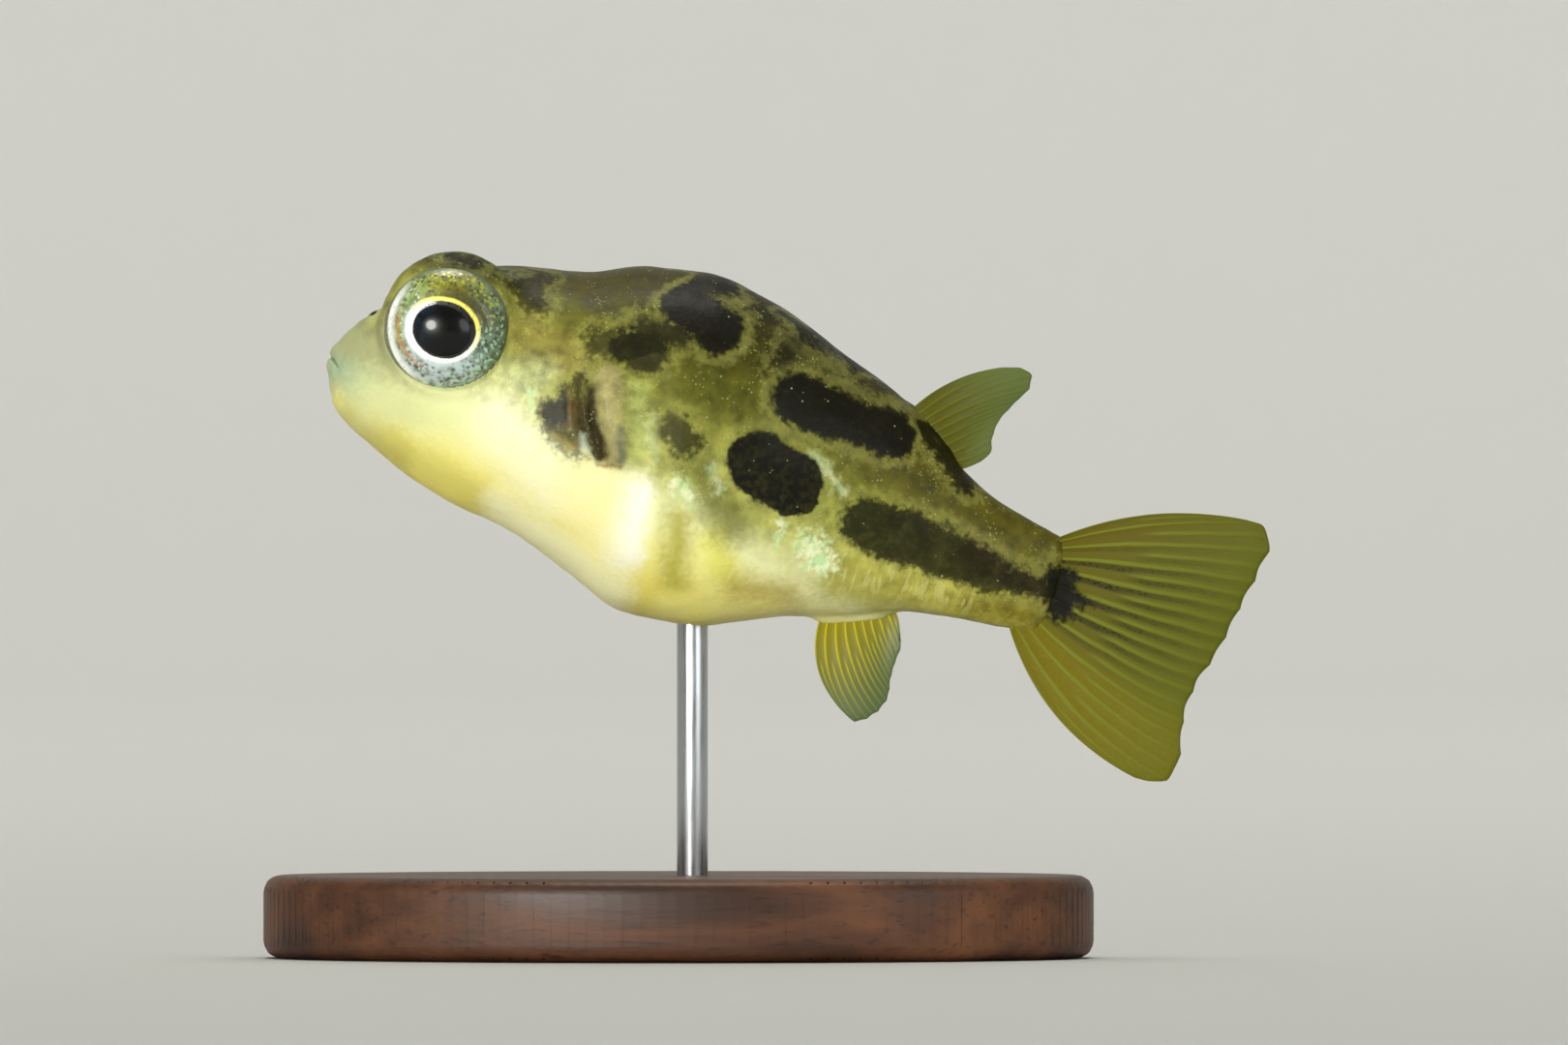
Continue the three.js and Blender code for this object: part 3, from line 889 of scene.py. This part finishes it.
# The gill opening and the fleshy root of the pectoral fin, where no dark mark reaches
GILL = {
    "fin lobe": ((7.98, 2.0), (8.6, 0.0), 0.46, 0.42, 0.3, 0.95, (160, 152, 98)),
    "beside the wedge": ((7.16, 1.6), (7.8, 0.2), 0.14, 0.22, 0.3, 0.9, (62, 50, 22)),
    "red stripe": ((6.98, 1.46), (7.34, 0.4), 0.03, 0.07, 0.22, 0.75, (122, 66, 30)),
    # painted shade in the gill opening, dark along its carved groove
    "gill opening shade": ((7.55, 1.55), (8.3, -0.1), 0.15, 0.21, 0.24, 0.95, (42, 32, 14)),
    # painted highlight in the pocket of the gill opening
    "gill pocket highlight": ((7.72, 0.26), (7.95, -0.12), 0.07, 0.1, 0.2, 0.9, (206, 218, 190)),
    "gill gold": ((7.0, 0.1), (7.5, -0.1), 0.08, 0.14, 0.4, 0.75, (190, 170, 78)),
    "fin lobe edge": ((8.76, 0.75), (8.94, -0.08), 0.08, 0.13, 0.3, 0.8, (100, 108, 90)),
    "fin lobe end": ((8.35, -0.42), (8.95, -0.3), 0.05, 0.05, 0.22, 0.75, (122, 90, 40)),
}

# Where the muscles show through as fine upright lines: one row like those of MARKS
MUSCLE_LINES = ((14.6, -1.5), (19.5, -1.2), 0.6, 0.3, 0.8, 0.4)

# Painted sheen: patches painted pale green where guanine shines under thin skin, as a fixed colour that
# doesn't change with the angle: rows like those of MARKS
SHEENS = {
    "behind the belly": ((14.92, -0.95), (15.36, -1.25), 0.4, 0.36, 0.6, 1.0),
    "under the spot": ((13.86, -0.53), (13.91, -1.09), 0.1, 0.1, 0.3, 0.7),
    "behind the gill": ((10.7, -0.28), (11.18, -0.73), 0.18, 0.18, 0.45, 0.75),
    "beside the lobe": ((9.5, 1.3), (9.9, 0.1), 0.16, 0.14, 0.36, 0.3),
    "beside the spot": ((11.6, 0.4), (11.9, -0.2), 0.14, 0.14, 0.36, 0.35),
    "above the spot": ((14.2, 1.6), (15.3, 0.9), 0.14, 0.14, 0.36, 0.4),
    "before the gill cover": ((5.95, 1.1), (6.05, 0.6), 0.16, 0.14, 0.26, 0.6),
}


def in_side_view(place):
    return (place[0], 0.0, place[1])


def stroke(nodes, place, ragged, row):
    """A row of the tables above as a stroke's Mask and Rim."""
    start, end, start_radius, end_radius, softness = row[:STRENGTH]
    return nodes.group(STROKES, {
        "Place": place, "Ragged": ragged, "Start": in_side_view(start),
        "Way": in_side_view((end[0] - start[0], end[1] - start[1])),
        "Start Radius": start_radius, "End Radius": end_radius, "Softness": softness})


def stroke_mask(nodes, place, ragged, row):
    return nodes.times(stroke(nodes, place, ragged, row)["Mask"], row[STRENGTH])


def washed(nodes, colour, place, ragged, washes):
    """The colour with these washes over it, and the share that they leave bare."""
    bare = 1.0
    for row in washes.values():
        mask = stroke_mask(nodes, place, ragged, row)
        colour = nodes.lay(colour, row[TINT], mask)
        bare = nodes.times(bare, nodes.minus(1.0, mask))
    return colour, bare


def wavy(nodes, place):
    """The place moved about a little, so that no mark is geometric or the same on both sides.

    Along the middle of the back it moves more, where a mark crosses from side to side.
    """
    moved = nodes.shaken(nodes.shaken(place, 0.7, (0.4, 0, 0.4)), 3.2, (0.16, 0, 0.16))
    parts = nodes.split(place)
    on_back = nodes.times(nodes.rise(nodes.maths("ABSOLUTE", parts["Y"]), 2.7, 0.9),
                          nodes.rise(parts["Z"], 1.8, 3.2))
    swing = nodes.times(nodes.minus(nodes.noise(place, 0.55, 2.0), 0.5), on_back)
    aside = nodes.add("CombineXYZ", {"X": swing, "Y": 0.0, "Z": 0.0}).outputs["Vector"]
    return nodes.vectors("MULTIPLY_ADD", aside, (4.5, 0, 0), moved)


def skin_material():
    material, nodes, shader = new_material("puffer skin")
    place = fish_place(nodes)
    waved = wavy(nodes, place)
    ragged = nodes.noise(place, 5.5, 4.0)
    even = nodes.scaled(ragged, 0.25, 0.375)
    grains = nodes.group(GRAIN, {"Place": place})

    # The ramp runs from pale below to dark on the back: the fish's own countershading, with painted
    # light on the lower side and painted shade on the back in it.
    parts = nodes.split(waved)
    level = nodes.scaled(parts["X"], 0.19, parts["Z"])
    shade = nodes.held(nodes.maths("DIVIDE", nodes.maths("ADD", level, 2.4), 10.0))
    colour = nodes.ramp(shade, [
        (0.1, paint(236, 222, 108)), (0.22, paint(242, 236, 150)), (0.32, paint(240, 242, 182)),
        (0.43, paint(182, 182, 100)), (0.54, paint(140, 142, 62)), (0.66, paint(112, 112, 38)),
        (0.76, paint(80, 78, 18)), (0.86, paint(58, 55, 8)), (0.97, paint(40, 37, 5))])
    colour, _ = washed(nodes, colour, waved, even, WASHES)
    colour, bare = washed(nodes, colour, waved, even, GILL)

    dark = 0.0
    rim = 0.0
    for row in MARKS.values():
        found = stroke(nodes, waved, ragged, row)
        dark = nodes.most(dark, nodes.times(found["Mask"], row[STRENGTH]))
        rim = nodes.most(rim, nodes.times(found["Rim"], row[STRENGTH]))
    colour = nodes.lay(colour, (196, 196, 104), rim, bare, 0.2)

    olive = nodes.rise(shade, 0.29, 0.5)
    swing = nodes.times(nodes.minus(grains["Mottle"], 0.5), olive)
    mottle = nodes.scaled(swing, 1.7, 1.0)
    grey = nodes.add("CombineColor", {"Red": mottle, "Green": mottle, "Blue": mottle}).outputs["Color"]
    colour = nodes.mix(1.0, colour, grey, blend="MULTIPLY")
    colour = nodes.lay(colour, (44, 40, 8), grains["Dots"], olive, 0.5)
    colour = nodes.lay(colour, (214, 222, 128), grains["Flecks"], olive, 0.34)

    # Painted sheen: the SHEENS patches, streaked and tinted pale green over the colour.
    painted_sheen = 0.0
    for row in SHEENS.values():
        painted_sheen = nodes.most(painted_sheen, stroke_mask(nodes, waved, ragged, row))
    drawn = nodes.vectors("MULTIPLY", place, (9.0, 3.0, 1.2))
    lines = nodes.rise(nodes.noise(drawn, 0.8, 1.0), 0.5, 0.62)
    low_rear = stroke(nodes, waved, even, MUSCLE_LINES)["Mask"]
    colour = nodes.lay(colour, (222, 218, 140), lines, low_rear, MUSCLE_LINES[STRENGTH])
    painted_sheen = nodes.times(painted_sheen, nodes.rise(nodes.noise(drawn, 1.3, 3.0), 0.3, 0.6, 0.72, 1.0))
    shine_tint = nodes.mix(
        nodes.rise(nodes.noise(place, 3.0, 2.0), 0.4, 0.6), paint(204, 238, 178), paint(246, 252, 206))
    colour = nodes.mix(painted_sheen, colour, shine_tint)

    patchy = nodes.rise(ragged, 0.3, 0.62, 0.94, 1.0)
    colour = nodes.lay(colour, DARK, dark, patchy, bare)
    colour = nodes.lay(colour, (206, 216, 180), grains["Glints"], 0.6)
    either_side = nodes.vectors("ABSOLUTE", place)
    from_nostril = nodes.vectors("DISTANCE", either_side, tuple(NOSTRIL), output="Value")
    colour = nodes.lay(colour, (176, 182, 130), nodes.rise(from_nostril, 0.34, 0.2, 0.0, 0.4))
    # Painted shade in the nostril's pit.
    colour = nodes.lay(colour, (26, 22, 8), nodes.rise(from_nostril, 0.17, 0.08))

    finish(nodes, shader, colour, nodes.rise(grains["Mottle"], 0.2, 0.8, 0.4, 0.56),
           coat=0.04, coat_roughness=0.16, specular=0.12)
    relief(nodes, shader, grains["Height"], 0.35, 0.03 * MM)
    shader.inputs["Subsurface Weight"].default_value = 0.12
    shader.inputs["Subsurface Radius"].default_value = (1.0, 0.8, 0.35)
    shader.inputs["Subsurface Scale"].default_value = 0.3 * MM
    return material


def iris_material():
    """Rings and flecks round the pupil, under a wet clear coat."""
    material, nodes, shader = new_material("puffer iris")
    place = fish_place(nodes)
    from_pupil = nodes.vectors("SUBTRACT", place, (PUPIL[0], 0, PUPIL[2]))
    from_pupil = nodes.vectors("MULTIPLY", from_pupil, (1 / PUPIL_SIZE[0], 0, 1 / PUPIL_SIZE[2]))
    ring = nodes.vectors("LENGTH", from_pupil, output="Value")
    heading = nodes.vectors("NORMALIZE", from_pupil)
    from_axis = nodes.vectors("SUBTRACT", place, (EYE[0], 0, EYE[2]))
    limb = nodes.vectors("LENGTH", nodes.vectors("MULTIPLY", from_axis, (1, 0, 1)), output="Value")
    uneven = nodes.minus(nodes.noise(place, 2.2, 3.0), 0.5)
    ring = nodes.scaled(uneven, 0.1, ring)

    def toward(degrees, low, high):
        """1 on the side of the pupil that faces this way: 0 is the tail's, 90 the back's."""
        way = (math.cos(math.radians(degrees)), 0, math.sin(math.radians(degrees)))
        facing = nodes.vectors("DOT_PRODUCT", heading, way, output="Value")
        return nodes.rise(nodes.scaled(uneven, 0.5, facing), low, high)

    def band(low, high, soft):
        """1 on a ring round the pupil, between two distances."""
        beyond = nodes.rise(ring, low - soft, low + soft)
        return nodes.times(beyond, nodes.rise(ring, high + soft, high - soft))

    shaken = nodes.shaken(place, 12.0, (0.12, 0.12, 0.12), 1.0)
    sparkle = nodes.rise(nodes.cells(shaken, 7.0), 0.44, 0.24)
    speck = nodes.cells(nodes.vectors("ADD", shaken, (3.3, 1.7, 5.1)), 6.0)
    speck = nodes.rise(speck, 0.42, 0.26)
    cloud = nodes.noise(place, 4.0, 4.0)

    colour = nodes.mix(toward(80, -0.1, 0.6), paint(156, 172, 162), paint(142, 140, 36))
    colour = nodes.lay(colour, (104, 128, 104), toward(5, 0.1, 0.7), 0.9)
    colour = nodes.lay(colour, (150, 176, 104), toward(175, 0.3, 0.9), 0.9)
    colour = nodes.lay(colour, (186, 200, 200), toward(-80, 0.3, 0.9), 0.85)
    colour = nodes.lay(colour, (66, 72, 34), nodes.rise(cloud, 0.42, 0.62, 0.0, 0.6))
    colour = nodes.lay(colour, (40, 44, 22), speck, 0.7)
    glitter = nodes.mix(toward(0, -0.2, 0.6), paint(222, 236, 214), paint(190, 236, 206))
    glitter = nodes.mix(toward(80, 0.3, 0.8), glitter, paint(196, 200, 70))
    colour = nodes.mix(nodes.times(sparkle, 0.8), colour, glitter)
    brown = nodes.times(toward(64, 0.5, 0.95), nodes.rise(ring, 1.9, 1.35), 0.85)
    colour = nodes.lay(colour, (66, 60, 8), brown)
    orange = nodes.times(band(1.42, 1.56, 0.08), toward(212, 0.6, 0.98), 0.7)
    colour = nodes.lay(colour, (196, 138, 66), orange)
    white = nodes.times(nodes.rise(limb, 1.5, 1.7), toward(200, 0.35, 0.85))
    colour = nodes.lay(colour, (252, 255, 250), white)
    glow = nodes.times(nodes.rise(ring, 1.44, 1.16), toward(235, -0.3, 0.8), 0.75)
    colour = nodes.lay(colour, (218, 236, 240), glow)
    wide = nodes.scaled(toward(195, -0.2, 0.9), 0.09, 1.15)
    inner = nodes.rise(nodes.minus(ring, wide), 0.05, -0.03)
    golden = nodes.mix(toward(75, -0.3, 0.7), paint(248, 255, 246), paint(246, 236, 104))
    colour = nodes.mix(inner, colour, golden)
    edge = nodes.times(nodes.rise(limb, 1.58, 1.74), nodes.minus(1.0, toward(205, 0.0, 0.5)))
    colour = nodes.lay(colour, (84, 98, 98), edge, 0.85)
    colour = nodes.lay(colour, (112, 116, 74), nodes.rise(limb, 1.73, 1.79))
    colour = nodes.lay(colour, (4, 5, 5), nodes.rise(ring, 1.04, 0.99))

    finish(nodes, shader, colour, nodes.rise(sparkle, 0.0, 1.0, 0.42, 0.26),
           coat=0.5, coat_roughness=0.05, specular=0.4, metallic=nodes.times(sparkle, 0.3))
    relief(nodes, shader, nodes.maths("ADD", sparkle, cloud), 0.25, 0.02 * MM)
    return material


def pupil_material():
    """Near black, with a painted faint blue reflection on the snout's side."""
    material, nodes, shader = new_material("puffer pupil")
    place = fish_place(nodes)
    parts = nodes.split(place)
    painted_reflection = nodes.rise(parts["X"], PUPIL[0] - 0.1, PUPIL[0] - PUPIL_SIZE[0])
    painted_reflection = nodes.times(painted_reflection, nodes.rise(nodes.noise(place, 3.0, 2.0), 0.35, 0.65))
    finish(nodes, shader, nodes.mix(painted_reflection, paint(5, 6, 6), paint(26, 40, 54)), 0.25,
           coat=0.25, coat_roughness=0.04, specular=0.25)
    return material


def ray_group():
    """A fin's rays from its own map: light lines that fork once, and dark lines beside them."""
    tree, nodes, given, result = new_group(
        "fin rays", [("Rays", "Float")],
        [("Ray", "Float"), ("Shadow", "Float"), ("Across", "Float"), ("Outward", "Float")])
    fin_map = nodes.add("UVMap", uv_map="Rays").outputs["UV"]
    parts = nodes.split(fin_map)
    bend = nodes.minus(nodes.noise(fin_map, 3.0, 2.0), 0.5)
    turns = nodes.times(nodes.scaled(bend, 0.02, parts["X"]), given["Rays"])

    def comb(times, beside, low, high):
        turned = nodes.minus(turns, beside)
        wave = nodes.maths("COSINE", nodes.times(turned, 2 * math.pi * times))
        return nodes.rise(wave, low, high)

    fork = nodes.rise(parts["Y"], 0.4, 0.55)
    nodes.feed(result["Ray"], nodes.mix(fork, comb(1, 0.0, 0.5, 1.0), comb(2, 0.0, 0.0, 1.0)))
    nodes.feed(result["Shadow"], nodes.mix(fork, comb(1, 0.25, 0.0, 0.9), comb(2, 0.2, -0.2, 0.8)))
    nodes.feed(result["Across"], parts["X"])
    nodes.feed(result["Outward"], parts["Y"])
    return tree


def fin_material(name, rays, root, rim, ray_tint, dense, clear, bands=(), spots=(), fade=1.3):
    """A membrane between rays, tinted from root to rim.

    dense is how opaque the root and the rays are, and clear the film between them.
    bands are washes along the rays: middle, half width, how far out, shadow share, tint, strength.
    fade is how far out, as a share of the length, the rays end as something denser than the film.
    """
    material, nodes, shader = new_material(name)
    found = nodes.group(RAYS, {"Rays": rays})
    outward, across, ray = found["Outward"], found["Across"], found["Ray"]
    place = fish_place(nodes)
    cloud = nodes.noise(place, 2.6, 4.0)
    dotty = nodes.rise(nodes.cells(place, 9.0), 0.5, 0.2)
    colour = nodes.mix(nodes.rise(outward, 0.1, 1.0), paint(*root), paint(*rim))
    thick = nodes.times(ray, 0.6)
    for middle, half, far, shadow, tint, strength in bands:
        apart = nodes.maths("ABSOLUTE", nodes.minus(across, middle))
        beside = nodes.rise(apart, half, half * 0.3)
        mask = nodes.times(beside, nodes.rise(outward, far, far * 0.2), strength)
        lines = nodes.scaled(found["Shadow"], shadow, 1 - shadow)
        lines = nodes.times(lines, nodes.scaled(dotty, 0.35, 0.65))
        mask = nodes.times(mask, lines)
        colour = nodes.lay(colour, tint, mask)
        thick = nodes.most(thick, mask)
    light_line = nodes.times(ray, nodes.rise(outward, 1.2, 0.2), 0.7)
    colour = nodes.lay(colour, ray_tint, light_line)
    waved = wavy(nodes, place)
    ragged = nodes.noise(place, 5.5, 4.0)
    for spot in spots:
        mask = stroke_mask(nodes, waved, ragged, MARKS[spot])
        colour = nodes.lay(colour, DARK, mask)
        thick = nodes.most(thick, mask)
    finish(nodes, shader, colour, 0.4, coat=0.06, coat_roughness=0.2, specular=0.16)
    film = nodes.rise(outward, 0.0, 0.3, dense, clear)
    thick = nodes.times(thick, nodes.rise(outward, fade, fade * 0.4), dense)
    nodes.feed(shader.inputs["Alpha"], nodes.most(film, thick))
    relief(nodes, shader, nodes.scaled(ray, 2.0, cloud), 0.3, 0.02 * MM)
    return material


def streaks(nodes, scale, detail):
    """A noise drawn out along the axis where the scale is smallest."""
    coordinates = nodes.add("TexCoord").outputs["Object"]
    drawn = nodes.add("Mapping", {"Vector": coordinates, "Scale": scale}).outputs["Vector"]
    return nodes.noise(drawn, 1.0, detail)


def wood_material():
    material, nodes, shader = new_material("stained walnut")
    grain = streaks(nodes, (60, 700, 700), 6.0)
    pores = streaks(nodes, (500, 7000, 7000), 3.0)
    colour = nodes.ramp(grain, [
        (0.3, paint(46, 26, 14)), (0.5, paint(78, 46, 26)), (0.7, paint(106, 66, 38))])
    colour = nodes.lay(colour, (30, 17, 10), nodes.rise(pores, 0.55, 0.75, 0.0, 0.6))
    finish(nodes, shader, colour, nodes.rise(grain, 0.3, 0.7, 0.44, 0.58),
           coat=0.08, coat_roughness=0.3, specular=0.35)
    relief(nodes, shader, pores, 0.25, 0.04 * MM)
    return material


def steel_material():
    material, nodes, shader = new_material("brushed steel")
    scratches = streaks(nodes, (9000, 9000, 400), 4.0)
    finish(nodes, shader, nodes.mix(scratches, paint(170, 174, 178), paint(208, 210, 212)),
           nodes.rise(scratches, 0.3, 0.7, 0.24, 0.38), metallic=1.0)
    relief(nodes, shader, scratches, 0.1, 0.01 * MM)
    return material


# ---- Studio -----------------------------------------------------------------------------------

VIEW_WIDTH = 45.36 * MM             # how much of the fish's middle plane the camera spans
VIEW_CENTRE = Vector((3.05, 0.0, 12.6)) * MM
CAMERA_AWAY = 0.6
FLOOR = 4.0
SWEEP_START = 0.9                   # how far behind the stand the back wall leaves the floor
SWEEP_RADIUS = 0.7
SWEEP_STEPS = 16
WALL_RISE = 1.2


def make_studio():
    """A closed pale room that sweeps up behind, soft lamps, and a level camera at the fish's left.

    The whole floor is drawn up as one, so the room has walls all round and a ceiling, and the
    world's light stays outside.
    """
    start_clean()
    bpy.ops.mesh.primitive_plane_add(size=FLOOR, location=(0, SWEEP_START - FLOOR / 2, 0))
    sweep = named("floor_sweep")
    fix_place()
    edit_mode()
    bpy.ops.mesh.select_mode(type="EDGE")
    stride = SWEEP_RADIUS * math.pi / 2 / SWEEP_STEPS
    for i in range(SWEEP_STEPS):
        turn = (i + 0.5) / SWEEP_STEPS * math.pi / 2
        draw_out(0, stride * math.cos(turn), stride * math.sin(turn))
    draw_out(0, 0, WALL_RISE)
    object_mode()
    bpy.ops.object.shade_smooth()
    material, nodes, shader = new_material("pale paper")
    finish(nodes, shader, paint(214, 214, 210), 0.9)
    sweep.data.materials.append(material)

    world = bpy.data.worlds.new("studio")
    bpy.context.scene.world = world
    world.use_nodes = True
    background = world.node_tree.nodes["Background"]
    background.inputs["Color"].default_value = (0.9, 0.93, 0.95, 1)
    background.inputs["Strength"].default_value = 0.22
    bpy.context.scene.view_settings.view_transform = "Standard"

    def lamp(name, place, aim, size, power, tint):
        """A soft round lamp at a place, turned toward what it lights."""
        light = bpy.data.lights.new(name, "AREA")
        light.shape = "DISK"
        light.size = size
        light.energy = power
        light.color = tint
        lit = bpy.data.objects.new(name, light)
        bpy.context.scene.collection.objects.link(lit)
        lit.location = place
        lit.rotation_euler = (Vector(aim) - Vector(place)).to_track_quat("-Z", "Y").to_euler()

    lamp("key", (-0.5, -1.2, 0.22), VIEW_CENTRE, 0.45, 14.2, (1.0, 0.985, 0.93))
    lamp("fill", (0.95, -1.0, 0.3), VIEW_CENTRE, 0.8, 4.5, (0.95, 0.98, 1.0))
    lamp("top", (0.1, 0.2, 1.4), VIEW_CENTRE, 1.0, 3, (1.0, 1.0, 0.97))
    lamp("backdrop", (0, 0.1, 1.5), (0, 1.6, 0.4), 0.8, 12, (1.0, 1.0, 1.0))

    camera = bpy.data.cameras.new("camera")
    camera.sensor_width = 36
    camera.lens = 36 * CAMERA_AWAY / VIEW_WIDTH
    camera.clip_start = 0.01
    camera.clip_end = 20
    seen = bpy.data.objects.new("camera", camera)
    bpy.context.scene.collection.objects.link(seen)
    seen.location = VIEW_CENTRE + Vector((0, -CAMERA_AWAY, 0))
    seen.rotation_euler = (math.pi / 2, 0, 0)
    bpy.context.scene.camera = seen


# ---- Making -----------------------------------------------------------------------------------

STROKES = stroke_group()
GRAIN = skin_grain_group()
RAYS = ray_group()

make_studio()
make_skin(skin_material())
iris = iris_material()
pupil = pupil_material()
for side, word in ((LEFT, "left"), (RIGHT, "right")):
    make_eye(side, word, iris, pupil)

make_middle_fins({
    "tail_fin": fin_material(
        "tail membrane", TAIL_RAYS, (98, 92, 12), (92, 96, 12), (122, 130, 40), 0.99, 0.96,
        [(0.1, 0.16, 1.5, 0.2, (92, 78, 6), 0.6), (0.45, 0.32, 1.25, 0.9, (20, 18, 2), 1.0),
         (0.88, 0.26, 1.7, 0.1, (124, 112, 0), 0.85)], SPOTS_ON_TAIL),
    "dorsal_fin": fin_material(
        "dorsal membrane", DORSAL_RAYS, (86, 84, 10), (92, 106, 52), (104, 108, 26), 0.99, 0.95),
    "anal_fin": fin_material(
        "anal membrane", ANAL_RAYS, (140, 130, 2), (84, 102, 62), (204, 192, 30), 0.99, 0.9),
})
pectoral = fin_material(
    "pectoral membrane", PECTORAL_RAYS, (150, 148, 80), (150, 150, 90), (196, 192, 130), 0.26, 0.03,
    fade=0.7)
for side, word in ((LEFT, "left"), (RIGHT, "right")):
    make_pectoral(side, word, pectoral)
make_stand(wood_material(), steel_material())
